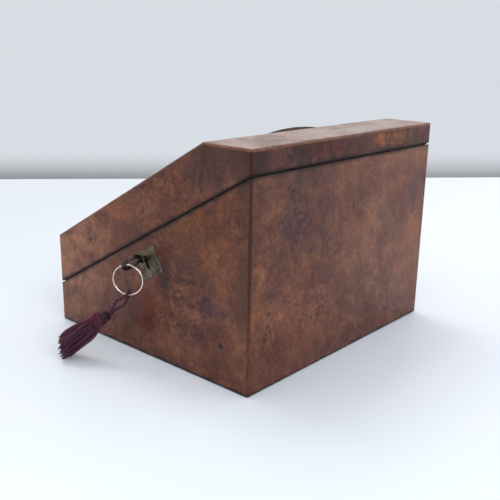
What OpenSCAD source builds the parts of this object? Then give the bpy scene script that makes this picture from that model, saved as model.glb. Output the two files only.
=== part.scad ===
// Sloping money box in burr walnut, with a link-plate lock, two butt hinges, and a key on a tasselled ring.
// Millimetres, +Z up. The origin is on the underside, at the middle of the box.
// +X is the lock side, -X the hinge side, +Y the tall back and -Y the low front.

/* [Box] */
// Width from the hinge side to the lock side
box_w = 202; // [185:1:225]
// Depth from the low front to the tall back
box_d = 188; // [176:1:205]
// Height of the tall back
box_h = 150; // [142:1:160]
// Height of the low front
front_h = 66; // [60:1:72]
// Depth of the flat strip on top, behind the slope
top_d = 38.5; // [34:0.5:44]
// Height of the lid's wall at the back, above the seam
lid_back_h = 15.2; // [12:0.1:20]

/* [Wood] */
// Thickness of the boards of the body and of the lid's walls
board_t = 9; // [8.6:0.1:11]
// Thickness of the bottom board
bottom_t = 8; // [6:0.5:10]
// Thickness of the lid's top and slope boards
lid_t = 7; // [5:0.5:8]
// Thickness of the saw-cut veneer
veneer_t = 1.6; // [1.55:0.05:2]
// Radius of the rounded outer edges
edge_r = 1.5; // [0.8:0.1:1.5]
// Thickness of the baize under the bottom
baize_t = 0.8; // [0.5:0.1:1.5]
// How far the baize stops inside the outer faces
baize_inset = 2.2; // [1:0.1:5]
// Gap between the rims of the closed lid and the body
rim_gap = 0.3; // [0.1:0.05:0.5]
// How far each veneer stops short of its rim
seam_ease = 0.5; // [0.2:0.05:0.7]

/* [Coin slot] */
// Length of the coin slot
slot_len = 38; // [34:0.5:42]
// Width of the coin slot, level
slot_w = 5; // [4.6:0.1:6]
// Distance of the slot from the ridge, down the slope
slot_down = 21; // [18:0.5:26]
// Length of the brass slot mount
mount_len = 88; // [78:1:98]
// Width of the brass slot mount
mount_wide = 18; // [15:0.5:22]
// Height of the crown of the slot mount
mount_h = 6; // [5:0.1:7.5]
// Thickness of the slot mount at its two ends
mount_edge = 0.6; // [0.4:0.1:1]
// Radius of the mount's two pins
mount_pin_r = 0.8; // [0.6:0.05:1]
// Length of a mount pin in the wood
mount_pin_len = 6; // [4:0.5:8]

/* [Lock] */
// Place of the key along the rim, from the middle of the lock side
key_u = -3.3; // [-8:0.1:4]
// Place of the key below the rim
key_v = -13.5; // [-15:0.1:-13.5]
// Thickness of the lock's main plate and selvedge
plate_t = 1.2; // [1:0.1:1.4]
// Thickness of the lock's cap
cap_t = 1; // [0.8:0.1:1.2]
// Depth of the space inside the lock
lock_space = 4.6; // [4.4:0.1:4.8]
// Travel of the bolt
bolt_travel = 4.2; // [3.8:0.1:4.3]
// Turn of the key at rest, from the bit lying along the rim
key_rest = 22; // [16:1:24]
// Turn of the key from rest until the bolt is thrown
key_throw = 136; // [130:1:142]
// Radius of the key's bit at its tip
bit_r = 6.6; // [6.2:0.1:6.7]
// Thickness of the key's bit
bit_t = 1.6; // [1.2:0.1:1.8]
// Radius of the key's barrel
barrel_r = 1.7; // [1.6:0.05:1.9]
// Radius of the drill pin that carries the key
drill_pin_r = 1; // [0.8:0.05:1.1]
// Running clearance of the key on its pin and in its holes
key_fit = 0.08; // [0.05:0.01:0.1]
// Length of the escutcheon along the rim
escutcheon_len = 22.5; // [20:0.5:26]
// Height of the escutcheon across the rim
escutcheon_wide = 18.3; // [16.5:0.1:20]
// How far the escutcheon stands out of the veneer
escutcheon_proud = 0.4; // [0.2:0.1:0.8]

/* [Key and ring] */
// Distance from the lock side to the centre of the key's bow
bow_out = 12.2; // [11.5:0.5:16]
// Radius of the bow, to the middle of its rim
bow_r = 6; // [5:0.1:6.5]
// Half thickness of the bow's rim
bow_rim_r = 1.3; // [1:0.1:1.4]
// Turn of the ring in plan, from square to the bow's rim
ring_yaw = 30; // [0:1:40]
// Radius of the split ring, to the middle of its wire
ring_r = 10.1; // [9:0.1:11]
// Radius of the ring's wire
ring_wire_r = 0.42; // [0.35:0.01:0.5]

/* [Tassel] */
// Direction in which the cord and the tassel lie, in plan
tassel_az = -50; // [-60:1:-40]
// Slope of the doubled cord below level
cord_drop = 46; // [42:1:50]
// Slope of the tassel below level
tassel_drop = 38; // [34:1:42]
// Length of the doubled cord, from the ring to the knot
loop_len = 15.5; // [14:0.5:20]
// Diameter of the tassel's cord
cord_d = 1.7; // [1.2:0.1:1.8]
// Length of the dark collar bound round the tassel's neck
collar_len = 4.5; // [3:0.5:6]
// Radius of the collar
collar_silk_r = 3.5; // [3:0.1:4]
// Length of the tassel's head
head_len = 8; // [7:0.5:10]
// Radius of the tassel's head
head_r = 4.6; // [4:0.1:5.5]
// Length of the tassel's skirt
skirt_len = 29; // [26:0.5:33]
// Radius of the skirt at its tips
skirt_r = 8.3; // [7:0.1:9]

/* [Hinges] */
// Length of each hinge
hinge_len = 36; // [30:1:45]
// Distance of each hinge from the middle of the hinge side
hinge_u = 55; // [45:1:62]
// Width of a hinge leaf, from the pin
leaf_w = 9.2; // [8.4:0.1:10]
// Thickness of a hinge leaf
leaf_t = 1.2; // [1:0.1:1.4]
// Radius of the hinge knuckles
knuckle_r = 2.1; // [1.8:0.1:2.4]
// Radius of the hinge pins
pin_r = 1; // [0.8:0.05:1.2]
// How far the pin's axis stands outside the hinge side
pin_out = 0.4; // [0.2:0.1:0.8]
// Running clearance of the pins
pin_fit = 0.05; // [0.03:0.01:0.08]

/* [Hidden] */
$fn = 64;

eps = 0.01;
over = 1;            // cuts run past a face by this much
loose = 0.3;         // room round a piece that moves
let_in = 0.05;       // room round a screw or pin in its hole
level = 90;

half_w = box_w / 2;
half_d = box_d / 2;
slope = atan((box_h - front_h) / (box_d - top_d));
seam_mid_z = box_h - lid_back_h - half_d * tan(slope);
rim_off = rim_gap / 2;
veneer_off = rim_off + seam_ease;
wall_in = veneer_t + board_t;
lid_in = veneer_t + lid_t;
floor_z = baize_t + bottom_t;

// Height of the rim's plane at depth y, with a square offset from it
function rim_z(y, off = 0) = seam_mid_z + y * tan(slope) + off / cos(slope);
// Height of the slope at depth y, set in by i
function slope_z(y, i) = front_h + (y + half_d) * tan(slope) - i / cos(slope);
// Depth of the ridge on the surface set in by i
function ridge_y(i) = -half_d + (box_h - i - front_h + i / cos(slope)) / tan(slope);
// Outline of the closed box in depth and height, set in by i, from the front's foot round to its top
function profile(i) = [
    [-half_d + i, baize_t],
    [half_d - i, baize_t],
    [half_d - i, box_h - i],
    [ridge_y(i), box_h - i],
    [-half_d + i, slope_z(-half_d + i, i)]
];
// A place in the rim's frame (x, along the rim, above the rim), as a place on the object
function on_object(p) = [
    p[0],
    p[1] * cos(slope) - p[2] * sin(slope),
    seam_mid_z + p[1] * sin(slope) + p[2] * cos(slope)
];

// ---- frames ----

module on_rim() {
    translate([0, 0, seam_mid_z]) rotate([slope, 0, 0]) children();
}

module at_key() {
    on_rim() translate([0, key_u, key_v]) children();
}

module on_slope() {
    translate([0, ridge_y(0), box_h]) rotate([slope, 0, 0]) translate([0, -slot_down, 0]) children();
}

// Carries a drawing in depth and height from x0 to x1
module along_x(x0, x1) {
    translate([x0, 0, 0]) rotate([90, 0, 90]) linear_extrude(x1 - x0) children();
}

// ---- outer form with rounded edges ----

// What rounding takes off corner k of an outline whose edges lie r outside core
module corner_waste(core, k, r) {
    last = len(core);
    into = core[k] - core[(k + last - 1) % last];
    away = core[(k + 1) % last] - core[k];
    out_a = [into[1], -into[0]] * 2 * r / norm(into);
    out_b = [away[1], -away[0]] * 2 * r / norm(away);
    translate(core[k]) difference() {
        polygon([[0, 0], out_a, out_a + out_b, out_b]);
        circle(r);
    }
}

module rounded_profile() {
    difference() {
        polygon(profile(0));
        for (k = [2:4]) corner_waste(profile(edge_r), k, edge_r);
    }
}

// Corners of a rectangle, from low left round to high left
function corners(x, low, high) = [[-x, low], [x, low], [x, high], [-x, high]];

module rounded_plan() {
    difference() {
        polygon(corners(half_w, -half_d, half_d));
        for (k = [0:3])
            corner_waste(corners(half_w - edge_r, edge_r - half_d, half_d - edge_r), k, edge_r);
    }
}

// Section across the box with its top at 0 and both top corners rounded
module rounded_top() {
    difference() {
        polygon(corners(half_w, -2 * box_h, 0));
        for (k = [2:3]) corner_waste(corners(half_w - edge_r, -2 * box_h, -edge_r), k, edge_r);
    }
}

// Rounds the two long edges of a roof that rises by tilt through the ridge
module roof_form(tilt) {
    translate([0, ridge_y(0), box_h]) rotate([tilt, 0, 0])
        translate([0, box_d, 0]) rotate([90, 0, 0]) linear_extrude(2 * box_d) rounded_top();
}

module outer_form() {
    intersection() {
        along_x(-half_w, half_w) rounded_profile();
        linear_extrude(box_h + over) rounded_plan();
    }
}

// ---- boards and veneers ----

// Body wall between depths y0 and y1, from height z0 up to the rim
module body_wall(y0, y1, z0, off) {
    polygon([[y0, z0], [y1, z0], [y1, rim_z(y1, -off)], [y0, rim_z(y0, -off)]]);
}

// Lid wall between depths y0 and y1, from the rim up to the roof set in by i
module lid_wall(y0, y1, i, off) {
    intersection() {
        polygon([[y0, rim_z(y0, off)], [y1, rim_z(y1, off)], [y1, box_h], [y0, box_h]]);
        polygon([
            [-box_d, slope_z(-box_d, i)],
            [-box_d, -box_h],
            [box_d, -box_h],
            [box_d, box_h - i],
            [ridge_y(i), box_h - i]
        ]);
    }
}

module pencil(r, len) {
    rotate([0, level, 0]) cylinder(r = r, h = len);
}

// Keyhole standing in the key's frame, as a drawing across and up
module keyhole(room) {
    circle(barrel_r + room);
    slot_half = bit_t / 2 + loose + room;
    translate([-slot_half, -bit_r - loose - room]) square([2 * slot_half, bit_r + loose + room]);
}

module cut_keyhole(x0, x1, room) {
    at_key() along_x(x0, x1) keyhole(room);
}

// Wood screw along +Z with its flat head's top at 0, driven downwards
module screw(head_r, shank_r, len) {
    translate([0, 0, -len]) cylinder(r = shank_r, h = len);
    translate([0, 0, -(head_r - shank_r)]) cylinder(r1 = shank_r, r2 = head_r, h = head_r - shank_r);
}

screw_head_r = 1.8;
screw_shank_r = 0.9;
screw_len = 7;
lock_screw_len = 6;

// lock: through the wall, from the inside out
lock_in = half_w - wall_in;
space_in = lock_in + plate_t;
space_out = space_in + lock_space;
lock_out = space_out + cap_t;
space_mid = (space_in + space_out) / 2;

// lock: up from the key's axis
rim_v = -key_v - rim_off;
finger_down = 3.15;          // top of the bolt's fingers below the rim
finger_h = 2.6;
finger_top = rim_v - finger_down;
finger_low = finger_top - finger_h;
bolt_top = rim_v - 3;
bolt_low = 4;
staple_leg = 1;              // thickness of the staple's wire on each side
staple_low = finger_low - loose - staple_leg;
arm_top = staple_low - loose - 0.1;
tip_r = norm([bit_r, bit_t / 2]);
bit_room = 0.35;             // room for the bit's tip at the top of the talon
talon_top = tip_r + bit_room;
wall_t = 1;                  // thickness of the case's walls
case_foot = 0.95;            // room for the bit's tip at the foot of the case
case_low = -tip_r - case_foot;
plate_foot = 2;              // how far the main plate stands out below the case
plate_low = case_low - wall_t - plate_foot;
ledge_h = 1.1;               // height of the ledges that the bolt slides on

// lock: along the rim, counted from the key's axis
enter_deg = asin((bolt_low - bit_t / 2) / bit_r);
enter_u = bit_r * cos(enter_deg) + bit_t / 2;
talon_right = enter_u + bolt_travel * (enter_deg - key_rest) / key_throw + loose;
talon_left = -enter_u + bolt_travel * (180 - enter_deg - key_rest) / key_throw - loose;
cheek_left = 4;              // length of the bolt's block on each side of the talon
cheek_right = 2.6;
block_left = talon_left - cheek_left;
block_right = talon_right + cheek_right;
finger_len = bolt_travel - 0.4;
finger_gap = 0.5;            // from the left finger to its staple, unlocked
arm_room = 3.6;              // from the block to the right staple
staple_t = 1.6;              // length of a staple
staple_a = block_left - finger_len - finger_gap - staple_t / 2;
staple_b = block_right + arm_room + staple_t / 2;
post_left = staple_b + staple_t / 2 + bolt_travel + loose;
post_t = 1.8;                // length of the post that carries the right finger
throw_room = 3.2;            // room beyond the left staple for the thrown finger
post_room = 0.6;             // room beyond the post
case_left = staple_a - staple_t / 2 - throw_room;
case_right = post_left + post_t + post_room;
flange = 4;                  // how far the main plate stands out on each side of the case
plate_left = case_left - wall_t - flange;
plate_right = case_right + wall_t + flange;

// lock: thicknesses of what lies inside, and the staples
bolt_play = 0.4;             // of the bolt between the main plate and the cap
bolt_t = lock_space - bolt_play;
finger_t = 1.6;
staple_room = 0.2;           // room inside a staple on each side of the finger
staple_half = finger_t / 2 + staple_room + staple_leg;
staple_hole = 0.4;           // room round a staple in the selvedge

// lock: its screws
screw_low = 4;               // of the lower pair above the plate's foot
screw_high = 6.5;            // of the upper pair below the rim
link_end = 3;                // of the link plate's outer screws from its ends
lock_screw_u = [plate_left + flange / 2, plate_right - flange / 2];
lock_screw_v = [plate_low + screw_low, rim_v - screw_high];
link_screw_u = [plate_left + link_end, (staple_a + staple_b) / 2, plate_right - link_end];

// Cuboid in the key's frame, from one corner to the other
module span(a, b) {
    translate(a) cube(b - a);
}

module lock_mortise() {
    at_key() {
        span([lock_in - over, case_left - wall_t - let_in, case_low - wall_t - let_in],
             [lock_out + let_in, case_right + wall_t + let_in, rim_v + over]);
        span([lock_in - over, plate_left, plate_low], [space_in, plate_right, rim_v + over]);
        span([lock_in - over, plate_left, rim_v - plate_t], [lock_out + let_in, plate_right, rim_v + over]);
    }
}

module place_lock_screws() {
    at_key() for (u = lock_screw_u, v = lock_screw_v)
        translate([lock_in, u, v]) rotate([0, -level, 0]) children();
}

module place_link_screws() {
    on_rim() for (u = link_screw_u)
        translate([(lock_in + lock_out) / 2, key_u + u, rim_off]) mirror([0, 0, 1]) children();
}

module link_recess() {
    on_rim() translate([0, key_u, 0])
        span([lock_in - over, plate_left, rim_off - over], [lock_out, plate_right, rim_off + plate_t]);
}

// hinges
pin_x = -half_w - pin_out;
knuckles = 5;
knuckle_len = hinge_len / knuckles;
knuckle_gap = 0.15;
hinge_screw_x = -half_w + veneer_t + board_t / 2;
hinge_screw_u = hinge_len / 3;

module at_hinges() {
    on_rim() for (side = [-1, 1]) translate([0, side * hinge_u, 0]) children();
}

module hinge_rod(r, u0, u1) {
    translate([pin_x, u0, 0]) rotate([-level, 0, 0]) cylinder(r = r, h = u1 - u0);
}

// One leaf with the knuckles numbered in own, on the upper (up = 1) or lower (up = -1) rim
module hinge_leaf(up, own) {
    half = hinge_len / 2;
    z0 = up > 0 ? rim_off : -rim_off - leaf_t;
    difference() {
        union() {
            span([pin_x, -half, z0], [pin_x + leaf_w, half, z0 + leaf_t]);
            for (k = own)
                hinge_rod(knuckle_r, -half + k * knuckle_len, -half + (k + 1) * knuckle_len);
        }
        for (k = [0:knuckles - 1])
            if (len(search(k, own)) == 0)
                hinge_rod(knuckle_r + knuckle_gap,
                    -half + k * knuckle_len - (k == 0 ? over : knuckle_gap),
                    -half + (k + 1) * knuckle_len + (k == knuckles - 1 ? over : knuckle_gap));
        hinge_rod(pin_r + pin_fit, -half - over, half + over);
        place_on_leaf(up) screw(screw_head_r + let_in, screw_shank_r + let_in, leaf_t + over);
    }
}

module place_on_leaf(up) {
    for (k = [-1:1])
        translate([hinge_screw_x, k * hinge_screw_u, up * rim_off])
            mirror([0, 0, up > 0 ? 1 : 0]) children();
}

// Room for one leaf and for the knuckles, cut out of the boards and veneers of one rim
module hinge_recess(up) {
    half = hinge_len / 2;
    z0 = up > 0 ? rim_off - over : -rim_off - leaf_t;
    at_hinges() {
        span([pin_x, -half, z0], [pin_x + leaf_w, half, z0 + leaf_t + over]);
        hinge_rod(knuckle_r + loose, -half - loose, half + loose);
    }
}

// Hole for a shank of radius r and length len, open towards both sides of the surface at 0
module shank_hole(r, len) {
    cylinder(r = r + let_in, h = 2 * (len + let_in), center = true);
}

module hinge_screw_holes(up) {
    at_hinges() place_on_leaf(up) shank_hole(screw_shank_r, screw_len);
}

// coin slot
slot_y = ridge_y(0) - slot_down * cos(slope);

module slot_prism(room) {
    run = slot_len / 2 - slot_w / 2;
    translate([0, slot_y, 0]) linear_extrude(box_h + 2 * mount_h) {
        square([2 * run, slot_w + 2 * room], center = true);
        for (x = [-run, run]) translate([x, 0]) circle(slot_w / 2 + room);
    }
}

mount_pin_in = 4.5;  // of each pin from the mount's end
mount_pin_x = mount_len / 2 - mount_pin_in;

module place_mount_pins() {
    on_slope() for (x = [-1, 1]) translate([x * mount_pin_x, 0, 0]) children();
}

mount_crown = mount_h - mount_edge;
mount_round = (pow(mount_len / 2, 2) + pow(mount_crown, 2)) / (2 * mount_crown);
mount_pin_z = mount_h - mount_round + sqrt(pow(mount_round, 2) - pow(mount_pin_x, 2));

// ---- body ----

module bottom_board() color("peru")
    translate([-half_w + veneer_t, -half_d + veneer_t, baize_t])
        cube([box_w - 2 * veneer_t, box_d - 2 * veneer_t, bottom_t]);

module back_board() color("peru")
    along_x(-half_w + veneer_t, half_w - veneer_t)
        body_wall(half_d - wall_in, half_d - veneer_t, floor_z, rim_off);

module front_board() color("peru")
    along_x(-half_w + veneer_t, half_w - veneer_t)
        body_wall(-half_d + veneer_t, -half_d + wall_in, floor_z, rim_off);

module lock_side_board() color("peru")
    difference() {
        along_x(half_w - wall_in, half_w - veneer_t)
            body_wall(-half_d + wall_in, half_d - wall_in, floor_z, rim_off);
        lock_mortise();
        cut_keyhole(lock_out - over, half_w, loose + key_fit);
        place_lock_screws() shank_hole(screw_shank_r, lock_screw_len);
    }

module hinge_side_board() color("peru")
    difference() {
        along_x(-half_w + veneer_t, -half_w + wall_in)
            body_wall(-half_d + wall_in, half_d - wall_in, floor_z, rim_off);
        hinge_recess(-1);
        hinge_screw_holes(-1);
    }

module back_veneer() color("sienna")
    intersection() {
        outer_form();
        along_x(-box_w, box_w) body_wall(half_d - veneer_t, half_d + over, baize_t, veneer_off);
    }

module front_veneer() color("sienna")
    intersection() {
        outer_form();
        along_x(-box_w, box_w) body_wall(-half_d - over, -half_d + veneer_t, baize_t, veneer_off);
    }

module lock_side_veneer() color("sienna")
    difference() {
        along_x(half_w - veneer_t, half_w)
            body_wall(-half_d + veneer_t, half_d - veneer_t, baize_t, veneer_off);
        cut_keyhole(half_w - veneer_t - over, half_w + over, loose + key_fit);
        escutcheon_block();
    }

module hinge_side_veneer() color("sienna")
    difference() {
        along_x(-half_w, -half_w + veneer_t)
            body_wall(-half_d + veneer_t, half_d - veneer_t, baize_t, veneer_off);
        hinge_recess(-1);
    }

module base_baize() color("darkgreen")
    translate([-half_w + baize_inset, -half_d + baize_inset, 0])
        cube([box_w - 2 * baize_inset, box_d - 2 * baize_inset, baize_t]);

// ---- lid ----

module lid_top_board() color("peru")
    along_x(-half_w + veneer_t, half_w - veneer_t)
        polygon([
            [half_d - veneer_t, box_h - veneer_t],
            [ridge_y(veneer_t), box_h - veneer_t],
            [ridge_y(lid_in), box_h - lid_in],
            [half_d - veneer_t, box_h - lid_in]
        ]);

module lid_slope_board() color("peru")
    difference() {
        front = -half_d + veneer_t;
        along_x(-half_w + veneer_t, half_w - veneer_t)
            polygon([
                [ridge_y(veneer_t), box_h - veneer_t],
                [front, slope_z(front, veneer_t)],
                [front, slope_z(front, lid_in)],
                [ridge_y(lid_in), box_h - lid_in]
            ]);
        slot_prism(0);
        place_mount_pins() shank_hole(mount_pin_r, mount_pin_len);
    }

module lid_back_rail() color("peru")
    along_x(-half_w + veneer_t, half_w - veneer_t)
        lid_wall(half_d - wall_in, half_d - veneer_t, lid_in, rim_off);

module lid_front_rail() color("peru")
    along_x(-half_w + veneer_t, half_w - veneer_t)
        lid_wall(-half_d + veneer_t, -half_d + wall_in, lid_in, rim_off);

module lid_side_board(x0) {
    along_x(x0, x0 + board_t) lid_wall(-half_d + wall_in, half_d - wall_in, lid_in, rim_off);
}

module lid_lock_side_board() color("peru")
    difference() {
        lid_side_board(half_w - wall_in);
        link_recess();
        place_link_screws() shank_hole(screw_shank_r, screw_len);
    }

module lid_hinge_side_board() color("peru")
    difference() {
        lid_side_board(-half_w + veneer_t);
        hinge_recess(1);
        hinge_screw_holes(1);
    }

module lid_top_veneer() color("sienna")
    intersection() {
        outer_form();
        roof_form(0);
        along_x(-box_w, box_w)
            polygon([
                [half_d + over, box_h + over],
                [ridge_y(-over), box_h + over],
                [ridge_y(veneer_t), box_h - veneer_t],
                [half_d + over, box_h - veneer_t]
            ]);
    }

module lid_slope_veneer() color("sienna")
    difference() {
        front = -half_d - over;
        intersection() {
            outer_form();
            roof_form(slope);
            along_x(-box_w, box_w)
                polygon([
                    [ridge_y(-over), box_h + over],
                    [front, slope_z(front, -over)],
                    [front, slope_z(front, veneer_t)],
                    [ridge_y(veneer_t), box_h - veneer_t]
                ]);
        }
        slot_prism(0);
        place_mount_pins() shank_hole(mount_pin_r, mount_pin_len);
    }

module lid_back_veneer() color("sienna")
    intersection() {
        outer_form();
        along_x(-box_w, box_w) lid_wall(half_d - veneer_t, half_d + over, veneer_t, veneer_off);
    }

module lid_front_veneer() color("sienna")
    intersection() {
        outer_form();
        along_x(-box_w, box_w) lid_wall(-half_d - over, -half_d + veneer_t, veneer_t, veneer_off);
    }

module lid_lock_side_veneer() color("sienna")
    along_x(half_w - veneer_t, half_w)
        lid_wall(-half_d + veneer_t, half_d - veneer_t, veneer_t, veneer_off);

module lid_hinge_side_veneer() color("sienna")
    difference() {
        along_x(-half_w, -half_w + veneer_t)
            lid_wall(-half_d + veneer_t, half_d - veneer_t, veneer_t, veneer_off);
        hinge_recess(1);
    }

// Crowned saddle of brass with rounded ends, slotted straight down
module slot_mount() color("darkkhaki")
    difference() {
        on_slope() intersection() {
            translate([0, 0, mount_h - mount_round]) rotate([level, 0, 0])
                cylinder(r = mount_round, h = 2 * mount_wide, center = true, $fn = 256);
            linear_extrude(2 * mount_h) {
                square([mount_len - mount_wide, mount_wide], center = true);
                for (x = [-1, 1])
                    translate([x * (mount_len - mount_wide) / 2, 0]) circle(mount_wide / 2);
            }
        }
        slot_prism(0);
        place_mount_pins() shank_hole(mount_pin_r, mount_h);
    }

pin_head_wide = 1.6; // radius of a pin's head over the pin's own
pin_head_r = pin_head_wide * mount_pin_r;

// Round-headed pins, each head lying square to the crown of the saddle
module slot_pins() color("goldenrod") {
    place_mount_pins() translate([0, 0, -mount_pin_len])
        cylinder(r = mount_pin_r, h = mount_pin_len + mount_pin_z + loose);
    on_slope() for (x = [-1, 1])
        translate([x * mount_pin_x, 0, mount_pin_z]) rotate([0, x * asin(mount_pin_x / mount_round), 0])
            intersection() {
                sphere(pin_head_r);
                cylinder(r = 2 * pin_head_r, h = 2 * pin_head_r);
            }
}

// ---- lock ----

veneer_left = 0.4;   // veneer left behind the plate
escutcheon_in = veneer_t - veneer_left;
escutcheon_u = 1.1;  // its middle past the key's axis, along the rim
escutcheon_v = 3.8;  // and below it

// The escutcheon's block, let into the veneer and tilted with the rim
module escutcheon_block() {
    on_rim() translate([0, key_u + escutcheon_u, key_v - escutcheon_v])
        span([half_w - escutcheon_in, -escutcheon_len / 2, -escutcheon_wide / 2],
             [half_w + escutcheon_proud, escutcheon_len / 2, escutcheon_wide / 2]);
}

module escutcheon() color("gray")
    difference() {
        escutcheon_block();
        cut_keyhole(half_w - veneer_t - over, half_w + over, key_fit);
    }

ledge_end = 0.5;     // the left ledge ends this far from the block

module lock_case() color("darkkhaki")
    difference() {
        at_key() {
            span([lock_in, plate_left, plate_low], [space_in, plate_right, rim_v]);
            span([lock_in, plate_left, rim_v - plate_t], [lock_out, plate_right, rim_v]);
            difference() {
                span([lock_in, case_left - wall_t, case_low - wall_t],
                     [space_out, case_right + wall_t, rim_v]);
                span([space_in, case_left, case_low], [space_out + over, case_right, rim_v - plate_t]);
            }
            for (u = [[case_left, block_left - ledge_end], [block_right + 2 * ledge_end, case_right]])
                span([lock_in, u[0], bolt_low - loose - ledge_h], [space_out, u[1], bolt_low - loose]);
        }
        at_key() for (u = [staple_a, staple_b])
            span([space_in, u - staple_t / 2 - staple_hole, rim_v - plate_t - eps],
                 [space_out, u + staple_t / 2 + staple_hole, rim_v + over]);
        at_key() translate([lock_in - over, 0, 0]) pencil(drill_pin_r + let_in, plate_t + 2 * over);
        place_lock_screws() screw(screw_head_r + let_in, screw_shank_r + let_in, plate_t + over);
    }

module lock_cap() color("darkkhaki")
    difference() {
        at_key() span([space_out, case_left - wall_t, case_low - wall_t],
                      [lock_out, case_right + wall_t, rim_v - plate_t]);
        cut_keyhole(space_out - over, lock_out + over, key_fit);
    }

pin_past = 2;        // how far the drill pin runs past the inside of the lock
drill_pin_len = plate_t + lock_space + pin_past;

module drill_pin() color("silver")
    at_key() translate([lock_in, 0, 0]) pencil(drill_pin_r, drill_pin_len);

module lock_screws() color("silver")
    place_lock_screws() screw(screw_head_r, screw_shank_r, lock_screw_len);

// Bolt with a talon for the bit and two fingers that pass through the staples
module lock_bolt() color("darkgoldenrod")
    at_key() {
        thick0 = space_mid - bolt_t / 2;
        thin0 = space_mid - finger_t / 2;
        difference() {
            span([thick0, block_left, bolt_low], [thick0 + bolt_t, block_right, bolt_top]);
            span([thick0 - over, talon_left, bolt_low - over],
                 [thick0 + bolt_t + over, talon_right, talon_top]);
        }
        span([thick0, block_right - eps, bolt_low], [thick0 + bolt_t, post_left + post_t, arm_top]);
        span([thin0, post_left, bolt_low], [thin0 + finger_t, post_left + post_t, finger_top]);
        for (u = [block_left, post_left])
            span([thin0, u - finger_len, finger_low], [thin0 + finger_t, u + eps, finger_top]);
    }

// Bowed leaf that presses the bolt down from under the selvedge
module bolt_spring() color("silver")
    at_key() {
        half = 6;
        rise = 1.2;
        strip_t = 0.4;
        strip_wide = 2;
        bend = (pow(half, 2) + pow(rise, 2)) / (2 * rise);
        mid = (block_left + block_right) / 2;
        translate([space_mid - strip_wide / 2, mid, bolt_top + bend]) along_x(0, strip_wide)
            intersection() {
                difference() {
                    circle(bend, $fn = 128);
                    circle(bend - strip_t, $fn = 128);
                }
                translate([-half, -bend]) square([2 * half, rise]);
            }
    }

// Plate in the lid's rim with the two staples that drop into the lock
module link_plate() color("darkkhaki")
    difference() {
        on_rim() translate([0, key_u, 0]) {
            span([lock_in, plate_left, rim_off], [lock_out, plate_right, rim_off + plate_t]);
            for (u = [staple_a, staple_b]) difference() {
                span([space_mid - staple_half, u - staple_t / 2, staple_low + key_v],
                     [space_mid + staple_half, u + staple_t / 2, rim_off + eps]);
                span([space_mid - staple_half + staple_leg, u - staple_t, finger_low - loose + key_v],
                     [space_mid + staple_half - staple_leg, u + staple_t, finger_top + loose + key_v]);
            }
        }
        place_link_screws() screw(screw_head_r + let_in, screw_shank_r + let_in, plate_t + over);
    }

module link_screws() color("silver")
    place_link_screws() screw(screw_head_r, screw_shank_r, screw_len);

// ---- hinges ----

module hinge_body_leaves() color("darkkhaki")
    at_hinges() hinge_leaf(-1, [0, 2, 4]);

module hinge_lid_leaves() color("darkkhaki")
    at_hinges() hinge_leaf(1, [1, 3]);

module hinge_pins() color("silver")
    at_hinges() hinge_rod(pin_r, -hinge_len / 2, hinge_len / 2);

module hinge_body_screws() color("silver")
    at_hinges() place_on_leaf(-1) screw(screw_head_r, screw_shank_r, screw_len);

module hinge_lid_screws() color("silver")
    at_hinges() place_on_leaf(1) screw(screw_head_r, screw_shank_r, screw_len);

// ---- key, ring and tassel ----

barrel_in = space_in + loose;
bore_past = 1;       // how far the barrel's bore runs past the drill pin
barrel_bore = drill_pin_len - plate_t + bore_past;
bow_x = half_w + bow_out;
collar_r = 2.6;
collar_back = 1.6;   // from the bow to the middle of the collar
collar_x = bow_x - bow_r - bow_rim_r - collar_back;
bead_h = 0.3;        // height of the bead behind the collar
bead_wide = 1;
bead_back = 2.4;     // from the collar's middle to the bead
ward_wide = 0.8;     // slit in the end of the bit
ward_deep = 2;

// Pipe key turned in the lock, its bit and bow lying near the line of the rim
module key() color("dimgray")
    at_key() rotate([key_rest, 0, 0]) difference() {
        union() {
            translate([barrel_in, 0, 0]) pencil(barrel_r, bow_x - bow_r - barrel_in);
            translate([collar_x, 0, 0]) rotate([0, level, 0]) rotate_extrude()
                translate([barrel_r, 0]) circle(collar_r - barrel_r);
            translate([collar_x - bead_back, 0, 0]) pencil(barrel_r + bead_h, bead_wide);
            difference() {
                span([barrel_in + loose, 0, -bit_t / 2], [space_out - loose, bit_r, bit_t / 2]);
                span([space_mid - ward_wide / 2, bit_r - ward_deep, -bit_t],
                     [space_mid + ward_wide / 2, bit_r + over, bit_t]);
            }
            translate([bow_x, 0, 0]) rotate_extrude() translate([bow_r, 0]) circle(bow_rim_r);
        }
        translate([barrel_in - over, 0, 0]) pencil(drill_pin_r + key_fit, barrel_bore + over);
    }

// Middle of the bow's rim where the ring hangs, and the ring's own places
hang = on_object([bow_x, key_u - bow_r * cos(key_rest), key_v - bow_r * sin(key_rest)]);
ring_ease = 0.48;    // room between the ring's wire and the bow where it hangs
ring_seat = bow_rim_r + ring_wire_r + ring_ease;
ring_mid = hang + [0, 0, ring_seat - ring_r];
ring_low = ring_mid - [0, 0, ring_r];
turn_off = 0.9 * ring_wire_r;        // of each of the ring's two turns from its middle

module key_ring() color("silver")
    translate(ring_mid) rotate([0, level, ring_yaw]) rotate_extrude()
        for (z = [-1, 1]) translate([ring_r, z * turn_off]) circle(ring_wire_r);

cord_dir = [cos(cord_drop) * cos(tassel_az), cos(cord_drop) * sin(tassel_az), -sin(cord_drop)];
ring_dir = [cos(ring_yaw), sin(ring_yaw), 0];
loop_side = unit(cross(cord_dir, ring_dir));
loop_room = turn_off + ring_wire_r + 2 * loose + cord_d / 2;

function unit(v) = v / norm(v);

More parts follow.
